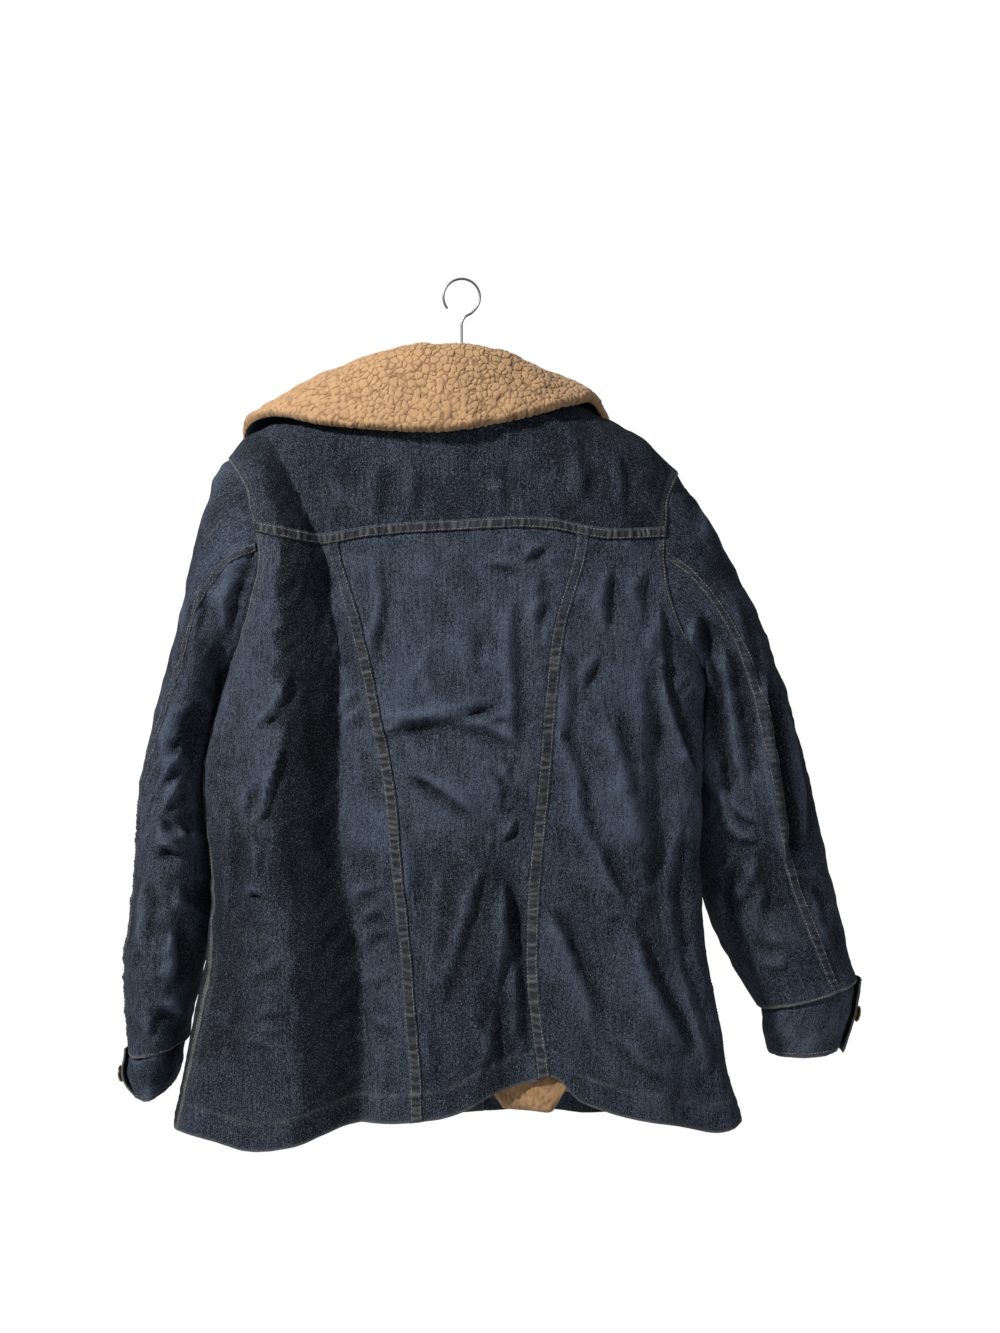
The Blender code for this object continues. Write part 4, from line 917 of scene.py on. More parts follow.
class Arm:
    """A sleeve's outer face with its creases."""

    def __init__(self, table, left):
        self.sleeve = Sleeve(table, left)
        self.creases = LEFT_SLEEVE_CREASES if left else RIGHT_SLEEVE_CREASES
        self.rows = self.sleeve.rows

    def __call__(self, degrees, row):
        degrees, row = np.broadcast_arrays(degrees, row)
        points, out = self.sleeve(degrees, row), self.sleeve.normal(degrees, row)
        x, z = points[..., 0], points[..., 2]
        back = creases_at(x, z, self.creases) * ease((out[..., 1] - 0.15) * 2.4)
        front = creases_at(x, z, SLEEVE_FRONT_CREASES) * ease((-out[..., 1] - 0.15) * 2.4)
        lift = SLEEVE_CREASED * (back + front)
        lift += sum(height * crumple(points, *how) for height, *how in SLEEVE_CRUMPLES)
        lift += UNEVEN * ripples(points, 9, 70, 150)
        elbow = self.sleeve.section(row)[..., 6]
        beside = np.abs(degrees - elbow) * math.pi / 180 * ARM_RADIUS - LAP_HALF
        lift += 0.8 * np.exp(-np.maximum(beside, 0) / 8) * (pucker(z, beside, 11) - PUCKER_MEAN)
        lift *= ease(row / 0.25)
        return points + out * lift[..., None], out, lift

    def tuck(self, degrees):
        """Two rows of the sleeve's head under the edge of the body's panels."""
        turn, z = self.sleeve.armhole(degrees)
        middle = np.sign(turn) * math.pi / 2
        deep, out, _ = coat(turn + (middle - turn) * TUCK_INWARD, z)
        edge, out_edge, _ = coat(turn, z)
        return deep - out * (DENIM + 0.7), edge - out_edge * (DENIM + 0.2)


def lumps(points, size, seed):
    """Height, 0 to 1, of the sherpa's nubs: rounded cells with narrow crevices, at these points."""
    dice = np.random.RandomState(seed)
    shifts = dice.rand(64, 64, 64, 3)
    warp = np.stack([ripples(points, seed + k, 9, 22, 10) for k in range(3)], axis=-1)
    places = (points + 0.6 * warp) / size
    cell = np.floor(places).astype(int)
    first = np.full(places.shape[:-1], 1e9)
    second, level = first.copy(), np.zeros(places.shape[:-1])
    for i in (-1, 0, 1):
        for j in (-1, 0, 1):
            for k in (-1, 0, 1):
                at = cell + (i, j, k)
                seeds = at + shifts[at[..., 0] % 64, at[..., 1] % 64, at[..., 2] % 64]
                away = np.linalg.norm(places - seeds, axis=-1)
                second = np.where(away < first, first, np.minimum(second, away))
                level = np.where(away < first, np.modf(seeds.sum(axis=-1))[0], level)
                first = np.minimum(first, away)
    return (1 - (1 - np.clip((second - first) / 0.24, 0, 1)) ** 2) * (0.76 + 0.24 * np.abs(level))


# ---------------------------------------------------------------- meshes


def finish_mesh(name, points, faces, look, marks=None, uv=None):
    """An object on the root body, smooth but for its sharp edges. marks are numbers for each point."""
    mesh = bpy.data.meshes.new(name)
    mesh.from_pydata((np.asarray(points) * MM).tolist(), [], faces)
    mesh.shade_smooth()
    mesh.set_sharp_from_angle(angle=math.radians(SHARP_DEGREES))
    for key, values in (marks or {}).items():
        layer = mesh.attributes.new(key, "FLOAT", "POINT")
        layer.data.foreach_set("value", np.ascontiguousarray(values, np.float32).ravel())
    if uv is not None:
        corner = np.empty(len(mesh.loops), np.int32)
        mesh.loops.foreach_get("vertex_index", corner)
        layer = mesh.uv_layers.new(name="UVMap")
        layer.data.foreach_set("uv", (uv * MM)[corner].astype(np.float32).ravel())
    mesh.materials.append(look)
    made = bpy.data.objects.new(name, mesh)
    bpy.context.scene.collection.objects.link(made)
    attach(made, "root")
    return made


def quads(*corners):
    """Four-sided faces from four arrays of point numbers."""
    return np.stack(corners, axis=-1).reshape(-1, 4).tolist()


def ring_faces(ids, closed=False):
    """Faces over rows of rings of points, with a cap at each end unless the last ring meets the first."""
    before = ids if closed else ids[:-1]
    after = np.roll(ids, -1, axis=0) if closed else ids[1:]
    faces = quads(before, np.roll(before, -1, axis=1), np.roll(after, -1, axis=1), after)
    return faces if closed else faces + [ids[0, ::-1].tolist(), ids[-1].tolist()]


def arcs(points):
    """Lengths along both directions of a grid, as one pair for each point."""
    pair = []
    for axis in (0, 1):
        steps = np.linalg.norm(np.diff(points, axis=axis), axis=-1)
        sums = np.cumsum(steps, axis=axis)
        pair.append(np.concatenate([np.zeros_like(np.take(sums, [0], axis=axis)), sums], axis=axis))
    return np.stack(pair, axis=-1)


def upright(points, x):
    """Lengths along a grid, the first one from a plumb line at x, so that the weave hangs straight."""
    run = arcs(points)
    for j in range(points.shape[1]):
        across = points[:, j, 0]
        sign = 1.0 if across[-1] > across[0] else -1.0
        run[:, j, 0] -= np.interp(sign * x, sign * across, run[:, j, 0])
    return run


def shell(name, points, out, outer, inner, look, marks, soften=0.0, plumb=None, inner_rows=None):
    """The piece that stands for a node: a closed wall over a grid, between two distances along its normals.

    Its border can be softened, and its inner face can have fewer rows than the outer one.
    """
    m, n = points.shape[:2]
    normals = normals_of(points, out)
    outer, inner = (np.array(np.broadcast_to(d, (m, n)), float) for d in (outer, inner))
    if soften:
        border = np.zeros((m, n), bool)
        border[[0, -1]] = border[:, [0, -1]] = True
        outer[border] -= soften
        inner[border] += soften / 2
    kept = np.unique(np.linspace(0, n - 1, inner_rows or n).round().astype(int))

    def on_both(grid, inside):
        return np.concatenate([grid.reshape(m * n, -1), inside[:, kept].reshape(m * len(kept), -1)])

    front = np.arange(m * n).reshape(m, n)
    back = m * n + np.arange(m * len(kept)).reshape(m, -1)
    faces = []
    for grid in (front, back[::-1]):
        faces += quads(grid[:-1, :-1], grid[1:, :-1], grid[1:, 1:], grid[:-1, 1:])
    faces += quads(front[1:, 0], front[:-1, 0], back[:-1, 0], back[1:, 0])
    faces += quads(front[:-1, -1], front[1:, -1], back[1:, -1], back[:-1, -1])
    if inner_rows:
        faces += [[*front[0], *back[0, ::-1]], [*front[-1, ::-1], *back[-1]]]
    else:
        faces += quads(front[0, :-1], front[0, 1:], back[0, 1:], back[0, :-1])
        faces += quads(front[-1, 1:], front[-1, :-1], back[-1, :-1], back[-1, 1:])
    i, j = m // 2, n // 2
    turned = np.cross(points[i, j] - points[i - 1, j], points[i, j] - points[i, j - 1])
    if np.dot(turned, normals[i, j]) < 0:
        faces = [face[::-1] for face in faces]
    run = arcs(points) if plumb is None else upright(points, plumb)
    walls = on_both(points + normals * outer[..., None], points + normals * inner[..., None])
    spread = {key: np.broadcast_to(values, (m, n)) for key, values in marks.items()}
    spread = {key: on_both(values, values) for key, values in spread.items()}
    made = finish_mesh(name, walls, faces, look, spread, on_both(run, run))
    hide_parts(name)
    return made


def denim_shell(name, points, out, outer, inner, denim, wear=0.0, fade_and_shade=0.0, band=0.0, soften=0.0, plumb=None):
    """A wall of denim: how worn, how pale or dark, partly as painted shade and painted shadow, and how far a
    seam each point is.
    """
    marks = {"wear": wear, "fade_and_shade": fade_and_shade, "band": band}
    return shell(name, points, out, outer, inner, denim, marks, soften, plumb)


def along_line(at, run, values):
    """Points or directions at these lengths along a line, from those at the lengths in run."""
    return np.stack([np.interp(at, run, values[:, k]) for k in range(3)], axis=-1)


def stitches(piece, lines, thread):
    """A piece's sewing: short threads along lines of (points, normals), sunk into the cloth at both ends."""
    turn = np.linspace(0, 2 * math.pi, THREAD_SIDES, endpoint=False)[:, None]
    points, faces, count = [], [], 0
    for line, normals in lines:
        run = np.concatenate([[0.0], np.cumsum(np.linalg.norm(np.diff(line, axis=0), axis=1))])
        starts = np.arange(0.5, run[-1] - STITCH_LENGTH - 0.4, STITCH_PITCH)
        rings = []
        for share, height in STITCH_PROFILE:
            at = starts + share * STITCH_LENGTH
            place, normal = along_line(at, run, line), along_line(at, run, normals)
            side = unit(np.cross(along_line(at, run, np.gradient(line, run, axis=0)), normal))
            place = place + normal * height
            around = side[:, None] * np.cos(turn) + normal[:, None] * np.sin(turn)
            rings.append(place[:, None] + THREAD * around)
        rings = np.stack(rings, axis=1)
        ids = count + np.arange(rings[..., 0].size).reshape(rings.shape[:3])
        around = np.roll(ids, -1, axis=2)
        faces += quads(ids[:, :-1], around[:, :-1], around[:, 1:], ids[:, 1:])
        faces += ids[:, 0, ::-1].tolist() + ids[:, -1].tolist()
        points.append(rings.reshape(-1, 3))
        count += ids.size
    finish_mesh("stitches_" + piece, np.concatenate(points), faces, thread)


def tube(name, path, radius, look, closed=False):
    """A round wire along a path. radius is a number, or one for each point."""
    path = np.asarray(path, float)
    radius = np.broadcast_to(np.asarray(radius, float), len(path))
    ahead = np.roll(path, -1, axis=0) - np.roll(path, 1, axis=0)
    if not closed:
        ahead[0], ahead[-1] = path[1] - path[0], path[-1] - path[-2]
    ahead = unit(ahead)
    side = np.cross(ahead[0], (0.31, 0.87, 0.37))
    turn = np.linspace(0, 2 * math.pi, WIRE_SIDES, endpoint=False)[:, None]
    rings = []
    for point, r, forward in zip(path, radius, ahead):
        side = unit(side - forward * np.dot(side, forward))
        up = np.cross(forward, side)
        rings.append(point + r * (side * np.cos(turn) + up * np.sin(turn)))
    ids = np.arange(len(path) * WIRE_SIDES).reshape(len(path), WIRE_SIDES)
    return finish_mesh(name, np.concatenate(rings), ring_faces(ids, closed), look)


def lathe(profile, seat, axis, sides):
    """Points and faces of a profile (radius, height) turned round an axis, closed at both ends."""
    axis = np.asarray(axis, float)
    u = unit(np.cross((0.0, 0.0, 1.0) if abs(axis[2]) < 0.9 else (1.0, 0.0, 0.0), axis))
    v = np.cross(axis, u)
    turn = np.linspace(0, 2 * math.pi, sides, endpoint=False)[:, None]
    rings = [seat + axis * h + r * (u * np.cos(turn) + v * np.sin(turn)) for r, h in profile]
    return np.concatenate(rings), ring_faces(np.arange(len(profile) * sides).reshape(len(profile), sides))


def columns_between(first, counts):
    """Places between the marks from the first one: the mark before each column, and how far on it is."""
    before, share = [], []
    for k, count in enumerate(counts):
        before += [first + k] * count
        share += [j / count for j in range(count)]
    return np.array(before + [first + len(counts) - 1]), np.array(share + [1.0])


def grid_between(marks_at, places, bottom, top, rows):
    """Turns and heights of a grid: columns at their places between the marks, and rows from bottom to top."""
    before, share = places
    pick = np.arange(len(before))
    z = np.full((len(before), len(rows)), UNDERARM_Z)
    for _ in range(SETTLING_ROUNDS):
        marks = marks_at(z)
        turn = marks[before, pick] * (1 - share[:, None]) + marks[before + 1, pick] * share[:, None]
        x = body_x(turn, z)
        z = 0.4 * z + 0.6 * (bottom(x) + (top(x) - bottom(x)) * rows[None, :])
    return turn, z


def raised(curve, height):
    """The curve, this much higher."""
    return lambda x: curve(x) + height


# ---------------------------------------------------------------- edges and seams


def from_edges(points, edges):
    """Each grid point's distance from the nearest of these edges: first, last, bottom or top."""
    run = arcs(points)
    away = np.full(points.shape[:2], 1e9)
    for edge in edges:
        k = 0 if edge in ("first", "last") else 1
        length = run[..., k]
        if edge in ("last", "top"):
            length = np.take(length, [-1], axis=k) - length
        away = np.minimum(away, length)
    return away


def line_from_edge(points, out, outer, edge, distance):
    """Points and normals of a line on a wall's outer face, at a distance from one edge of its grid."""
    normals = normals_of(points, out)
    surface = points + normals * np.broadcast_to(outer, points.shape[:2])[..., None]
    away = from_edges(points, [edge])
    if edge in ("first", "last"):
        surface, normals, away = surface.swapaxes(0, 1), normals.swapaxes(0, 1), away.T
    if edge in ("last", "top"):
        surface, normals, away = surface[:, ::-1], normals[:, ::-1], away[:, ::-1]
    reached = [k for k in range(len(away)) if away[k, -1] > distance]
    line = [along_line(distance, away[k], surface[k]) for k in reached]
    return np.array(line), np.array([along_line(distance, away[k], normals[k]) for k in reached])


def ends_of_side(line, normals):
    """The parts of a side's stitching that lie on top: round the armhole, and near the hem."""
    parts = (line[:, 2] > UNDERARM_Z + 4, line[:, 2] < SIDE_SEWN_Z)
    return [(line[kept], normals[kept]) for kept in parts if kept.sum() > 4]


def folded_edge(away, points):
    """Height of a folded, stitched edge: a flat fold with a stitched groove, puckered."""
    along = points[..., 2] + 0.8 * points[..., 0]
    fold = FOLDED * ease((9.0 - away) / 3.0)
    groove = -0.35 * np.exp(-(((away - FOLD_GROOVE) / 1.6) ** 2))
    return fold + groove + 0.5 * np.exp(-away / 9) * (pucker(along, away, 2) - PUCKER_MEAN)


def turned_hem(points):
    """A hem's fold and stitching: how far they stand out, how worn they are, how far the fold reaches in."""
    away = from_edges(points, ["bottom"])
    stitched = np.exp(-(((away - HEM_DEPTH) / 2.0) ** 2))
    slanted = pucker(points[..., 0] + 0.7 * away, 0, 4)
    height = 0.5 * ease((HEM_DEPTH - away) / 3) - 0.4 * stitched
    height += 0.6 * ease((HEM_DEPTH + 3 - away) / 6) * (slanted - PUCKER_MEAN)
    wear = np.maximum(0.6 * np.exp(-away / 1.3), stitched * (0.08 + 0.3 * slanted))
    return height, wear, HEM_TURN * np.exp(-away / 1.2)


def band(name, points, out, denim, thread, crosswise, seed, puckered=1.0, shaded=0):
    """A folded, double-stitched seam: flat, with two stitched grooves, puckers and edges that turn down.

    crosswise is the grid's direction across it. shaded is the side, 1 or -1, whose edge gets a painted shadow
    line, or 0.
    """
    share = np.linspace(-1, 1, points.shape[crosswise])
    share = share[:, None] if crosswise == 0 else share[None, :]
    along = points[..., 2] if crosswise == 0 else points[..., 0]
    waves = pucker(along, LAP_HALF * share, seed) * puckered
    grooves = np.exp(-(((np.abs(share) - BAND_GROOVE) / 0.14) ** 2))
    flat = 1 - np.abs(share) ** 8
    outer = 0.2 + (LAYER_GAP + LAP_RISE) * flat - 0.35 * grooves + 0.8 * (waves - PUCKER_MEAN) * flat
    ragged = 0.5 + 0.5 * np.clip(ripples(points, 33, 5, 18), -1, 1)
    edges = np.exp(-(((np.abs(share) - 0.93) / 0.08) ** 2)) * ragged * (share * shaded < 0.5)
    middle = puckered * ease((0.8 - np.abs(share)) / 0.25)
    spots = pucker(along, 0.0, seed + 40) * np.exp(-((share / 0.45) ** 2)) * puckered
    wear = np.clip(0.4 * edges + 0.85 * waves * middle, 0, 1) * (1 - spots)
    # Dark spots down the middle, and a painted shadow line along the shaded edge
    fade_and_shade = -2.4 * spots - 4.0 * np.exp(-(((share - shaded) / 0.12) ** 2)) * (shaded != 0)
    made = denim_shell(name, points, out, outer, -0.1, denim, wear, fade_and_shade, middle)
    normals = normals_of(points, out)
    surface = points + normals * outer[..., None]
    if crosswise:
        surface, normals = surface.swapaxes(0, 1), normals.swapaxes(0, 1)
    rows = [np.argmin(np.abs(share.ravel() - TOPSTITCH / LAP_HALF * sign)) for sign in (-1, 1)]
    stitches(name, [(surface[k], normals[k]) for k in rows], thread)
    return made


# ---------------------------------------------------------------- the body's pieces


def fading_and_painted_shade(lift, points):
    """The denim's tone: lighter on ridges, partly real fading and partly painted highlight, and darker in
    troughs as painted shade; painted shade on the yoke, low on the back and on the left side below the arm,
    and painted shadow in the pleat for the shadow its crest casts.
    """
    x, z = points[..., 0], points[..., 2]
    behind = points[..., 1] > 0
    # The pleat's painted shadow, from just inside its crest to its valley, with a ragged edge
    crest, valley = pleat_at[0](z), pleat_at[1](z)
    ragged = 5 * ripples(points, 41, 14, 60)
    inside = ease((crest + 2 + ragged - x) / 8) * ease((x - valley + 1 + 0.25 * ragged) / 3)
    inside *= ease((PLEAT_TOP_Z - z) / 40)
    # Painted shade on the yoke, stronger towards the wearer's right
    yoke = ease((z - yoke_z(x)) / 6) * (0.75 + 0.45 * ease((20 - x) / 200))
    # Painted shade low on the back, and on the left side below the arm
    low = 0.35 + 0.5 * ease((65 - np.abs(x + 10)) / 25) + 0.4 * ease((x - 110) / 60)
    low *= ease((LOW_BACK_Z - z) / 50)
    side = 0.5 * ease((x - 200) / 30) * ease((UNDERARM_Z - 20 - z) / 60) * (z > -790)
    # Ridges lighter, partly fading and partly painted highlight; troughs darker, painted shade; and a little
    # tone that differs at random
    ridge_fade_and_shade = np.clip(lift / BODY_FADE_AND_SHADE + 0.1 * ripples(points, 21, 12, 60), -1, 1)
    return ridge_fade_and_shade - behind * (PLEAT_PAINTED_SHADOW * inside + yoke + (low + side) * (1 - inside))


def panel(name, marks_at, places, bottom, top, rows, denim, thread, folded=(), hem=True, rise=None):
    """A panel of the body with its creases. folded names the edges that are folded and stitched.

    A front has a rise, which says how far it stands out where it lies on the other one.
    """
    turn, z = grid_between(marks_at, places, bottom, top, rows)
    points, out, lift = coat(turn, z)
    outer, inner = np.zeros(z.shape), np.full(z.shape, -DENIM)
    # Tone: fading and painted highlight on ridges, painted shade in troughs, and painted shade and painted
    # shadow on the back
    wear, fade_and_shade = np.zeros(z.shape), fading_and_painted_shade(lift, points)
    if folded:
        away = from_edges(points, folded)
        outer += folded_edge(away, points)
        wear = 0.7 * np.exp(-away / 1.0) + 0.12 * np.exp(-(((away - FOLD_GROOVE) / 2.0) ** 2))
        if rise is None:
            wear *= 1 - 0.85 * ease((UNDERARM_Z - z) / 20) * ease((z - SIDE_SEWN_Z) / 30)
    if hem:
        height, worn, reach = turned_hem(points)
        outer += height
        inner -= reach
        wear = np.maximum(wear, worn)
    if rise is not None:
        lifted = rise(turn, z)
        outer, inner = outer + lifted, inner + lifted
        # Painted shade on the left front's strip beyond the side seam
        fade_and_shade -= STRIP_PAINTED_SHADE * ease((points[..., 0] - STRIP_X) / 15) * ease((UNDERARM_Z - z) / 40)
    made = denim_shell(
        name, points, out, outer, inner, denim, wear, fade_and_shade, soften=0.5, plumb=points[..., 0].mean()
    )
    lines = [line_from_edge(points, out, outer, edge, EDGE_STITCH) for edge in folded]
    if rise is None:
        lines = [part for line in lines for part in ends_of_side(*line)]
    else:
        lines.append(line_from_edge(points, out, outer, "last", PLACKET_STITCH))
    if lines:
        stitches(name, lines, thread)
    return made


def hem_layer(name, marks_at, counts, hem_z, denim):
    """The hem's turned-up strip inside the panels."""
    low, high = raised(hem_z, 1.0), raised(hem_z, HEM_DEPTH)
    turn, z = grid_between(marks_at, columns_between(0, counts), low, high, np.linspace(0, 1, 7))
    points, out, lift = coat(turn, z)
    # It carries the panels' fading and painted shade too
    return denim_shell(name, points, out, -DENIM - 0.15, -DENIM - HEM_TURN, denim, fade_and_shade=fading_and_painted_shade(lift, points))


def lowest_near(grid):
    """The lowest of each grid point's value and those around it."""
    padded = np.pad(grid, 1, mode="edge")
    rows, columns = grid.shape
    return np.min([padded[i : i + rows, j : j + columns] for i in range(3) for j in range(3)], axis=0)


def rounded_border(away, radius):
    """How full a pile is near its border, from 0 to 1."""
    return np.sqrt(1 - (1 - np.clip(away / radius, 0, 1)) ** 2)


def lined(name, marks_at, counts, bottom, top, rows, sherpa):
    """The sherpa lining: its denim side follows the coat, and its pile stands inwards."""

    def lower(x):
        return top(x) - np.where(in_neck(x), LINING_NECK_DROP, 2.0)

    turn, z = grid_between(marks_at, columns_between(0, counts), bottom, lower, rows)
    points, out = body(turn, z), body_normal(turn, z)
    lift = lowest_near(lowest_near(coat(turn, z)[2])) - LINING_CLEAR
    points = points + out * np.minimum(lift, 0)[..., None]
    pile = lumps(points, LINING_NUB, 31)
    full = rounded_border(from_edges(points, ["first", "last", "bottom", "top"]), 4.0)
    middle = (LINING_OUT + LINING_IN) / 2
    half = (LINING_OUT - LINING_IN) / 2 * (0.25 + 0.75 * full)
    shown = ease((SHERPA_HEM - from_edges(points, ["bottom"])) / 12)
    clear = ease((hem_back_z(points[..., 0]) - 2 - z) / 9) * (out[..., 1] > 0)
    inner = middle - half - 1.6 * full * (pile - 0.5)
    outer = middle + half + shown * full * ((0.5 + 1.2 * clear) * (pile - 0.7) + 0.8 * clear)
    # Darker crevices between the nubs, painted shade; halved, so the whole lining is darker, painted shade as
    # of the hem above it
    return shell(name, points, out, outer, inner, sherpa, {"pile": 0.5 * pile})


def lining_hem(x):
    """The back lining's hem. It hangs out where the coat's hem is caught up."""
    middle, half, low = LINING_BULGE
    out = np.exp(-np.abs((x - middle) / half) ** 6)
    return (hem_back_z(x) + LINING_UP) * (1 - out) + (low + 0.05 * (x - middle)) * out


def make_back(denim, sherpa, thread):
    under_yoke, over_yoke = raised(yoke_z, -SEAM_GAP / 2), raised(yoke_z, SEAM_GAP / 2)
    made = {}
    rows = np.linspace(0, 1, PANEL_ROWS)
    for name, first, counts, folded in (
        ("side_back_left", 0, (58, 3), ("first",)),
        ("centre_back", 2, (3, 52, 3), ()),
        ("side_back_right", 5, (3, 58), ("last",)),
    ):
        places = columns_between(first, counts)
        made[name] = panel(name, back_marks, places, hem_back_z, under_yoke, rows, denim, thread, folded)
    rows = np.linspace(0, 1, SEAM_ROWS)
    for name, first, seed in (("seam_back_left", 1, 0), ("seam_back_right", 4, 1)):
        places = columns_between(first, (6, 6))
        turn, z = grid_between(back_marks, places, raised(hem_back_z, 0.5), under_yoke, rows)
        points, out, _ = coat(turn, z)
        puckered = 0.25 + 0.75 * ease((-320 - points[..., 2]) / 60)
        inner_side = 1 if abs(points[-1, 9, 0]) < abs(points[0, 9, 0]) else -1
        made[name] = band(name, points, out, denim, thread, 0, seed, puckered, inner_side)

    lap = YOKE_LAP / YOKE_HEIGHT
    above = lap + (1 - lap) * np.sin(np.linspace(0, 1, 46) * math.pi / 2)
    rows = np.concatenate([np.linspace(0, lap, 5)[:-1], above])
    places = columns_between(0, (40, 2, 2, 70, 2, 2, 40))
    name, folded = "back_yoke", ("first", "last")
    made[name] = panel(name, back_marks, places, over_yoke, top_back, rows, denim, thread, folded, hem=False)
    places = columns_between(0, (110, 5, 5, 180, 5, 5, 110))
    low, high = raised(yoke_z, -0.8), raised(yoke_z, YOKE_LAP)
    turn, z = grid_between(back_marks, places, low, high, np.linspace(0, 1, 11))
    points, out, _ = coat(turn, z)
    made["seam_yoke"] = band("seam_yoke", points, out, denim, thread, 1, 5, shaded=-1)

    made["hem_back"] = hem_layer("hem_back", back_marks, (50, 2, 2, 60, 2, 2, 50), hem_back_z, denim)
    rows = np.concatenate([np.linspace(0, 0.09, 22)[:-1], np.linspace(0.09, 1, 105)])
    counts = (32, 2, 2, 74, 2, 2, 32)
    made["lining_back"] = lined("lining_back", back_marks, counts, lining_hem, top_back, rows, sherpa)
    return made


def make_front(left, denim, sherpa, thread):
    name = "front_left" if left else "front_right"
    overlap = 0.0 if left else OVERLAP_RISE

    def marks_at(z):
        return front_marks(z, left)

    def rise(turn, z):
        return overlap * ease((body_x(turn, z) - NECK_MID + 44) / 20)

    def lining_low(x):
        return np.full(np.shape(x), LINING_HEM_FRONT)

    level = np.linspace(0, 1, FRONT_ROWS)
    rows = 0.62 * level + 0.38 * np.sin(level * math.pi / 2)
    places = columns_between(0, (34, 12, 4, 6, 6))
    folded = ("first", "last")
    made = {
        name: panel(name, marks_at, places, hem_front_z, top_front, rows, denim, thread, folded, rise=rise)
    }
    made["hem_" + name] = hem_layer("hem_" + name, marks_at, (34, 12, 4), hem_front_z, denim)
    rows = np.linspace(0, 1, LINING_ROWS)
    made["lining_" + name] = lined("lining_" + name, marks_at, (30, 10), lining_low, top_front, rows, sherpa)
    return made


# ---------------------------------------------------------------- sleeves and cuffs


def first_row_again(grid, count):
    """The grid with its first row repeated before it."""
    return np.concatenate([grid[:, :1]] * count + [grid], axis=1)


def make_sleeve(table, left, denim, thread):
    side = "left" if left else "right"
    arm = Arm(table, left)
    made = {}
    rows = np.linspace(0, arm.rows, SLEEVE_ROWS * arm.rows + 1)[None, :]
    elbow, underarm = np.moveaxis(arm.sleeve.section(rows)[..., 6:8], -1, 0)
    for name, last, count in (
        ("sleeve_upper_" + side, underarm - 360, 84),
        ("sleeve_under_" + side, underarm, 26),
    ):
        degrees = elbow + (last - elbow) * np.linspace(0, 1, count)[:, None]
        points, out, lift = arm(degrees, arm.sleeve.begin(degrees, rows))
        tucked = [row[:, None] for row in arm.tuck(degrees[:, 0])]
        points = np.concatenate([*tucked, points], axis=1)
        out, lift = first_row_again(out, 2), first_row_again(lift, 2)
        head, end = from_edges(points, ["bottom"]), from_edges(points, ["top"])
        drawn = -TUCK * (1 - ease((head - 6) / 9))
        drawn[:, :2] = 0
        blouse = SLEEVE_END * ease((26 - end) / 22)
        waves = pucker(arcs(points)[..., 0], 0, 9) - PUCKER_MEAN
        outer = drawn + blouse + 0.6 * (np.exp(-np.abs(head - 8) / 8) + np.exp(-end / 8)) * waves
        wear = 0.75 * np.exp(-end / 1.1)
        # Ridges lighter and troughs darker, partly fading and partly painted highlight and shade, with
        # painted shade over the whole sleeve
        fade_and_shade = np.clip(lift / SLEEVE_FADE_AND_SHADE, -1, 1) - SLEEVE_PAINTED_SHADE[side]
        made[name] = denim_shell(name, points, out, outer, outer - DENIM, denim, wear, fade_and_shade)
        stitches(name, [line_from_edge(points, out, outer, "top", EDGE_STITCH)], thread)

    rows = np.linspace(0.07, arm.rows, ELBOW_ROWS)[None, :]
    elbow = arm.sleeve.section(rows)[..., 6]
    near = arm.sleeve(elbow - 3, rows) - arm.sleeve(elbow + 3, rows)
    degrees_per_mm = 6 / np.linalg.norm(near, axis=-1)
    half = ELBOW_BAND * (0.75 + 0.25 * ease(rows / 2.5))
    degrees = elbow + half * degrees_per_mm * np.linspace(1, -1, ELBOW_COLUMNS)[:, None]
    points, out, _ = arm(degrees, rows)
    name = "seam_elbow_" + side
    made[name] = band(name, points, out, denim, thread, 0, 11, ELBOW_PUCKERED[side])
    return made


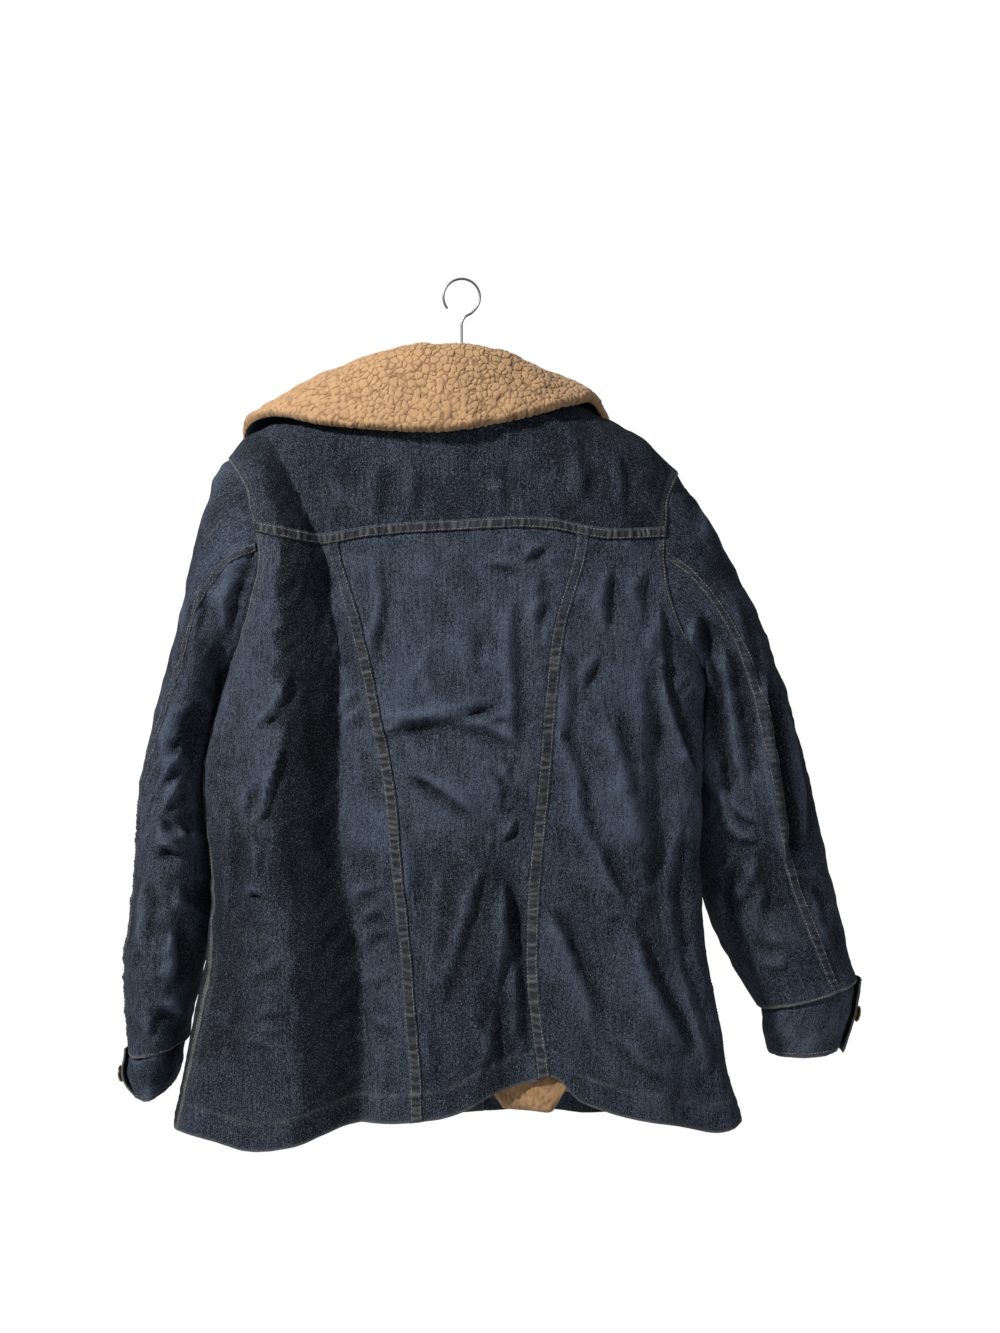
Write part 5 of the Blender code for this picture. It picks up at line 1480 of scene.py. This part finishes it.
def make_cuff(table, left, denim, thread, brass):
    name = "cuff_left" if left else "cuff_right"
    cuff = Cuff(table, left)
    degrees = np.linspace(CUFF_UNDER, CUFF_OVER, CUFF_COLUMNS)[:, None]
    rows = np.linspace(0, 1, CUFF_ROWS)[None, :]
    lift = cuff.lift(degrees)
    points, out = cuff(degrees, rows), cuff.normal(degrees, rows)
    bumps = CUFF_BUMPS[name] * ripples(points, 14, 16, 48)
    bumps *= 1 - 0.6 * ease((degrees - 300) / 30) * ease((390 - degrees) / 20)
    points = points + out * (lift + bumps)[..., None]
    up = unit(points[:, :1] - points[:, 1:2])
    tucked = np.where(lift[..., None] > 1.0, 0.0, CUFF_TUCK)
    points[:, :2] -= out[:, :2] * tucked * [[[1.0], [0.5]]]
    points = np.concatenate([points[:, :1] + CUFF_RISE * up, points], axis=1)
    out, bumps = first_row_again(out, 1), first_row_again(bumps, 1)
    away = from_edges(points, CUFF_EDGES)
    stitched = np.exp(-(((away - CUFF_STITCH) / 1.5) ** 2))
    run = arcs(points)
    waves = pucker(run[..., 0] + run[..., 1], 0, 6)
    outer = CUFF_OUT - 0.4 * stitched + 0.6 * np.exp(-away / 7) * (waves - PUCKER_MEAN)
    wear = np.clip(0.7 * np.exp(-away / 1.2) + 0.3 * waves * np.exp(-away / 7), 0, 1)
    # Raised places lighter and low ones darker, partly fading and partly painted highlight and shade
    fade_and_shade = np.clip(bumps / CUFF_FADE_AND_SHADE, -1, 1)
    made = denim_shell(name, points, out, outer, outer - CUFF_WALL, denim, wear, fade_and_shade, soften=0.6)
    stitches(name, [line_from_edge(points, out, outer, edge, CUFF_STITCH) for edge in CUFF_EDGES], thread)
    near, middle = np.argmin(np.abs(degrees[:, 0] - CUFF_BUTTON)), points.shape[1] // 2
    normal = normals_of(points, out)[near, middle]
    seat = points[near, middle] + normal * (CUFF_OUT + LAYER_GAP)
    make_button("button_" + name, seat, normal, brass)
    return {name: made}


# ---------------------------------------------------------------- buttons, collar and hanger


def make_button(name, seat, normal, brass):
    """A tack button: its post, a domed rim, a dished top and a small raised centre."""
    points, faces = lathe(BUTTON_PROFILE, seat, normal, 36)
    made = finish_mesh(name, points, faces, brass)
    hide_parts(name)


def make_front_buttons(brass):
    for k, z in enumerate(np.linspace(FIRST_BUTTON_Z, LAST_BUTTON_Z, BUTTON_ROWS)):
        z = np.full((1, 1), z)
        points, out, _ = coat(turn_at_x(0.0, z, -1), z)
        seat = points[0, 0] + out[0, 0] * (OVERLAP_RISE + LAYER_GAP)
        make_button(f"button_front_{k + 1}", seat, out[0, 0], brass)


def collar_grid(places, shares):
    place, share = np.broadcast_arrays(places[:, None], shares[None, :])
    return collar(place, share), collar_normal(place, share), share


def collar_places(count):
    """Places along the collar, spaced evenly along its outer edge, and closer together on the back."""
    place = np.linspace(0, len(COLLAR) - 1, 3000)
    edge = collar_grid(place, np.array([1.0, 1.0]))[0][:, 0]
    steps = np.linalg.norm(np.diff(edge, axis=0), axis=1)
    middle = (place[1:] + place[:-1]) / 2
    steps *= 1 + 0.6 * ease(middle - 2.2) * ease(9.8 - middle)
    run = np.concatenate([[0.0], np.cumsum(steps)])
    return np.interp(np.linspace(0, run[-1], count), run, place)


def make_collar(denim, sherpa):
    points, out, share = collar_grid(collar_places(COLLAR_COLUMNS), np.linspace(0.02, 1, COLLAR_ROWS))
    beyond = unit(points[:, -1:] - points[:, -3:-2])
    tufts = np.clip(lumps(points[:, -1:], EDGE_NUB, 71) - 0.3, 0, 1) * TUFTS
    tufts = tufts * ease((share - 0.93) / 0.07)
    points = points + beyond * tufts[..., None]
    edge = from_edges(points, COLLAR_EDGES)
    full = rounded_border(edge, 6.0)
    pile = lumps(points + out * COLLAR_SHERPA, COLLAR_NUB, 51)
    swell = 1.1 * ripples(points, 61, 30, 90) + 0.5 * ripples(points, 62, 12, 26)
    outer = full * (COLLAR_SHERPA - 0.6 + swell) + (0.15 + 0.85 * full) * 1.7 * (pile - 0.7)
    outer = np.maximum(outer, 0.6)
    inner = -LAYER_GAP / 2 - 0.8 * (1 - full)
    # Darker crevices between the nubs, painted shade, and darker within a few millimetres of the edges
    marks = {"pile": pile * (1 - 0.5 * np.exp(-edge / 2.5))}
    name = "collar_upper"
    upper = shell(name, points, out, outer, inner, sherpa, marks, inner_rows=COLLAR_INNER_ROWS)
    places = np.linspace(0.03, len(COLLAR) - 1.03, 170)
    points, out, _ = collar_grid(places, np.linspace(0.02, 0.985, 36))
    wear = 0.5 * np.exp(-from_edges(points, COLLAR_EDGES) / 1.5)
    under = denim_shell("collar_under", points, out, -LAYER_GAP, -LAYER_GAP - DENIM, denim, wear)
    return {"collar_upper": upper, "collar_under": under}


def rounded(corners, radii, steps):
    """A closed path in the plane y = 0 with an arc at each corner."""
    path = []
    count = len(corners)
    for i in range(count):
        before, here, after = (np.array(corners[(i + d) % count], float) for d in (-1, 0, 1))
        a, b = unit(before - here), unit(after - here)
        half = math.acos(np.dot(a, b)) / 2
        reach = radii[i] / math.tan(half)
        middle = here + unit(a + b) * radii[i] / math.sin(half)
        start, end = here + a * reach - middle, here + b * reach - middle
        swing = math.pi - 2 * half
        for k in range(steps + 1):
            t = k / steps
            p = (start * math.sin((1 - t) * swing) + end * math.sin(t * swing)) / math.sin(swing)
            path.append(middle + p)
    return [(x, 0.0, z) for x, z in path]


def make_hanger(steel):
    path = rounded(((0, HANGER_TOP_Z), HANGER_LEFT, HANGER_RIGHT), (15, 7, 7), 20)
    made = tube("hanger_frame", path, WIRE, steel, closed=True)
    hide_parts("hanger_frame")
    line = list(HOOK_STEM)
    for k in range(45):
        a = math.radians(226 - 6 * k)
        line.append((HOOK_RADIUS * math.cos(a), HOOK_CENTRE_Z + HOOK_RADIUS * math.sin(a)))
    line = np.array([(x, 0, z) for x, z in line], float)
    soft = through(np.arange(len(line)), line)
    hook = tube("hanger_hook", soft(np.linspace(0, len(line) - 1, 160)), WIRE, steel)
    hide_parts("hanger_hook")
    low = max(z for _, _, z in path) + WIRE
    for k in range(2):
        t = np.linspace(0, 1, 60)
        around = 2 * math.pi * TWIST_TURNS * t + k * math.pi
        radius = WIRE * 1.02 * (1 if k else 1 - 0.9 * ease((t - 0.9) / 0.1))
        z = low + (TWIST_TOP - low) * t
        wind = np.stack([radius * np.cos(around), radius * np.sin(around), z], axis=1)
        tube(f"hanger_twist_{k + 1}", wind, WIRE * 0.98, steel)


# ---------------------------------------------------------------- materials


def new_material(name, roughness, metallic=0.0, sheen=0.0):
    made = bpy.data.materials.new(name)
    made.use_nodes = True
    shader = made.node_tree.nodes["Principled BSDF"]
    shader.inputs["Roughness"].default_value = roughness
    shader.inputs["Metallic"].default_value = metallic
    shader.inputs["Sheen Weight"].default_value = sheen
    return made, made.node_tree, shader


def add_node(tree, kind, inputs=None, **settings):
    made = tree.nodes.new(kind)
    for key, value in settings.items():
        setattr(made, key, value)
    for key, value in (inputs or {}).items():
        if isinstance(value, bpy.types.NodeSocket):
            tree.links.new(value, made.inputs[key])
        else:
            made.inputs[key].default_value = value
    return made


def noise(tree, vector, scale, detail=3.0, roughness=0.5):
    inputs = {"Vector": vector, "Scale": scale, "Detail": detail, "Roughness": roughness}
    return add_node(tree, "ShaderNodeTexNoise", inputs).outputs[0]


def stretched(tree, vector, scale):
    return add_node(tree, "ShaderNodeMapping", {"Vector": vector, "Scale": scale}).outputs["Vector"]


def ramp(tree, factor, low, high, start=0.0, end=1.0):
    inputs = {"Value": factor, "From Min": low, "From Max": high, "To Min": start, "To Max": end}
    return add_node(tree, "ShaderNodeMapRange", inputs).outputs["Result"]


def mixed(tree, factor, a, b):
    inputs = {"Factor": factor, "A": a, "B": b}
    return add_node(tree, "ShaderNodeMix", inputs, data_type="RGBA").outputs["Result"]


def maths(tree, operation, a, b):
    made = tree.nodes.new("ShaderNodeMath")
    made.operation = operation
    for socket, value in zip(made.inputs, (a, b)):
        if isinstance(value, bpy.types.NodeSocket):
            tree.links.new(value, socket)
        else:
            socket.default_value = value
    return made.outputs[0]


def attribute(tree, name):
    return add_node(tree, "ShaderNodeAttribute", attribute_name=name).outputs["Fac"]


def bumped(tree, shader, height, strength, distance):
    made = add_node(tree, "ShaderNodeBump", {"Height": height, "Strength": strength, "Distance": distance})
    tree.links.new(made.outputs["Normal"], shader.inputs["Normal"])


def colour(r, g, b):
    """A colour from 0-255 values as a screen shows them."""
    return tuple(((v / 255 + 0.055) / 1.055) ** 2.4 for v in (r, g, b)) + (1.0,)


def summed(tree, parts):
    """The sum of (value, weight) pairs."""
    total = 0.0
    for value, weight in parts:
        total = maths(tree, "ADD", total, maths(tree, "MULTIPLY", value, weight))
    return total


def denim_look():
    made, tree, shader = new_material("denim", 0.85)
    shader.inputs["Specular IOR Level"].default_value = 0.15
    uv = add_node(tree, "ShaderNodeUVMap", uv_map="UVMap").outputs["UV"]
    place = add_node(tree, "ShaderNodeTexCoord").outputs["Object"]
    fine = noise(tree, stretched(tree, uv, (1500, 240, 1)), 1.0, 2.0)
    long = noise(tree, stretched(tree, uv, (560, 26, 1)), 1.0, 2.0, 0.7)
    grain = noise(tree, place, 1150.0, 1.0, 0.6)
    cloud = noise(tree, place, 24.0, 4.0, 0.6)
    # This mark carries fading with painted highlight on ridges, and painted shade and painted shadow
    fade_and_shade = attribute(tree, "fade_and_shade")
    tone = summed(tree, ((fine, 0.32), (long, 0.24), (grain, 0.41), (cloud, 0.03), (fade_and_shade, 0.07)))
    hue = noise(tree, place, 13.0, 2.0)
    pale = mixed(tree, ramp(tree, hue, 0.35, 0.65), colour(75, 86, 104), colour(77, 86, 102))
    base = mixed(tree, ramp(tree, tone, 0.43, 0.59), colour(14, 17, 25), pale)
    salt = noise(tree, place, 1150.0, 1.0)
    base = mixed(tree, ramp(tree, salt, 0.56, 0.74, 0.0, 0.6), base, colour(106, 116, 128))
    worn = maths(tree, "MULTIPLY", attribute(tree, "wear"), ramp(tree, grain, 0.3, 0.6, 0.5, 1.0))
    seam = mixed(tree, worn, colour(36, 38, 44), colour(104, 105, 104))
    base = mixed(tree, worn, base, colour(118, 121, 121))
    base = mixed(tree, maths(tree, "MULTIPLY", attribute(tree, "band"), 0.7), base, seam)
    tree.links.new(base, shader.inputs["Base Color"])
    weave = {"Vector": uv, "Scale": 620.0, "Distortion": 1.5, "Detail": 1.0}
    twill = add_node(tree, "ShaderNodeTexWave", weave, bands_direction="DIAGONAL").outputs["Fac"]
    height = summed(tree, ((twill, 0.2), (fine, 0.4), (grain, 0.4)))
    bumped(tree, shader, height, 0.4, 0.0007)
    return made


def sherpa_look():
    made, tree, shader = new_material("sherpa", 0.95, sheen=0.2)
    shader.inputs["Sheen Roughness"].default_value = 0.5
    place = add_node(tree, "ShaderNodeTexCoord").outputs["Object"]
    # The pile mark darkens the crevices between the nubs, painted shade
    pile = attribute(tree, "pile")
    base = mixed(tree, ramp(tree, pile, 0.0, 0.75), colour(108, 77, 49), colour(195, 157, 116))
    patchy = noise(tree, place, 26.0, 3.0)
    base = mixed(tree, ramp(tree, patchy, 0.4, 0.7, 0.0, 0.3), base, colour(192, 152, 110))
    curls = noise(tree, place, 420.0, 3.0, 0.6)
    base = mixed(tree, ramp(tree, curls, 0.35, 0.62, 0.25, 0.0), base, colour(140, 102, 68))
    tree.links.new(base, shader.inputs["Base Color"])
    height = summed(tree, ((curls, 0.6), (noise(tree, place, 1100.0, 3.0, 0.65), 0.4)))
    bumped(tree, shader, height, 0.5, 0.0012)
    return made


def mottled_look(name, roughness, metallic, scale, detail, spread, dark, pale):
    """A plain look with dark and pale patches. A small spread makes their edges sharper."""
    made, tree, shader = new_material(name, roughness, metallic)
    place = add_node(tree, "ShaderNodeTexCoord").outputs["Object"]
    patches = ramp(tree, noise(tree, place, scale, detail), 0.5 - spread, 0.5 + spread)
    tree.links.new(mixed(tree, patches, colour(*dark), colour(*pale)), shader.inputs["Base Color"])
    return made


# ---------------------------------------------------------------- stage, lights and camera


def look_at(thing, place, target):
    thing.location = place
    ahead = np.array(target) - np.array(place)
    flat = math.hypot(ahead[0], ahead[1])
    thing.rotation_euler = (math.atan2(flat, -ahead[2]), 0.0, math.atan2(-ahead[0], ahead[1]))


def add_light(name, place, target, size, power, tint):
    data = bpy.data.lights.new(name, "AREA")
    data.shape = "DISK"
    data.size = size
    data.energy = power
    data.color = tint
    made = bpy.data.objects.new(name, data)
    bpy.context.scene.collection.objects.link(made)
    look_at(made, place, target)


AMBIENT = 0.23  # the surroundings' brightness as a light
FLOOR_Z, FLOOR_RADIUS = -1.6, 1.15


def make_floor():
    """A pale round floor, far enough below the coat for a standing rail."""
    mesh = bpy.data.meshes.new("floor")
    turn = np.linspace(0, 2 * math.pi, 96, endpoint=False)
    rim = np.stack([FLOOR_RADIUS * np.cos(turn), FLOOR_RADIUS * np.sin(turn), np.full(96, FLOOR_Z)], axis=1)
    mesh.from_pydata(rim.tolist(), [], [list(range(96))])
    made, _, shader = new_material("floor", 0.9)
    shader.inputs["Base Color"].default_value = colour(236, 236, 234)
    mesh.materials.append(made)
    floor = bpy.data.objects.new("floor", mesh)
    bpy.context.scene.collection.objects.link(floor)


def make_world():
    """White to the camera, dimmer as a light."""
    world = bpy.data.worlds.new("surround")
    bpy.context.scene.world = world
    world.use_nodes = True
    tree = world.node_tree
    tree.nodes.clear()
    seen = add_node(tree, "ShaderNodeBackground", {"Color": (1, 1, 1, 1), "Strength": 1.0})
    lit = add_node(tree, "ShaderNodeBackground", {"Color": (0.95, 0.97, 1, 1), "Strength": AMBIENT})
    ray = add_node(tree, "ShaderNodeLightPath").outputs["Is Camera Ray"]
    both = tree.nodes.new("ShaderNodeMixShader")
    tree.links.new(ray, both.inputs[0])
    tree.links.new(lit.outputs[0], both.inputs[1])
    tree.links.new(seen.outputs[0], both.inputs[2])
    made = tree.nodes.new("ShaderNodeOutputWorld")
    tree.links.new(both.outputs[0], made.inputs["Surface"])


def make_camera():
    data = bpy.data.cameras.new("camera")
    data.sensor_width = 36.0
    data.sensor_fit = "AUTO"
    data.lens = 43.2
    made = bpy.data.objects.new("camera", data)
    made.location = (-0.0393, 1.64, -0.3962)
    made.rotation_euler = (math.radians(90), 0.0, math.radians(180))
    bpy.context.scene.collection.objects.link(made)
    bpy.context.scene.camera = made


def main():
    denim, sherpa = denim_look(), sherpa_look()
    thread = mottled_look("thread", 0.7, 0.0, 90.0, 3.0, 0.15, (70, 70, 72), (138, 134, 124))
    steel = mottled_look("steel", 0.38, 1.0, 140.0, 3.0, 0.5, (120, 120, 122), (168, 168, 170))
    brass = mottled_look("button_metal", 0.42, 1.0, 240.0, 4.0, 0.5, (110, 84, 58), (178, 146, 104))
    cloth = make_back(denim, sherpa, thread)
    for left, sleeve, cuff in ((True, SLEEVE_LEFT, CUFF_LEFT), (False, SLEEVE_RIGHT, CUFF_RIGHT)):
        cloth |= make_front(left, denim, sherpa, thread)
        cloth |= make_sleeve(sleeve, left, denim, thread)
        cloth |= make_cuff(cuff, left, denim, thread, brass)
    make_front_buttons(brass)
    cloth |= make_collar(denim, sherpa)
    make_hanger(steel)
    make_floor()
    make_world()
    make_camera()
    add_light("key", (2.2, 1.95, 1.55), (0.0, 0.0, -0.5), 0.4, 150.0, (1.0, 0.98, 0.95))
    add_light("fill", (-2.0, 1.3, -0.2), (0.0, 0.0, -0.5), 1.6, 6.0, (0.95, 0.97, 1.0))
    bpy.context.scene.view_settings.view_transform = "Standard"


main()
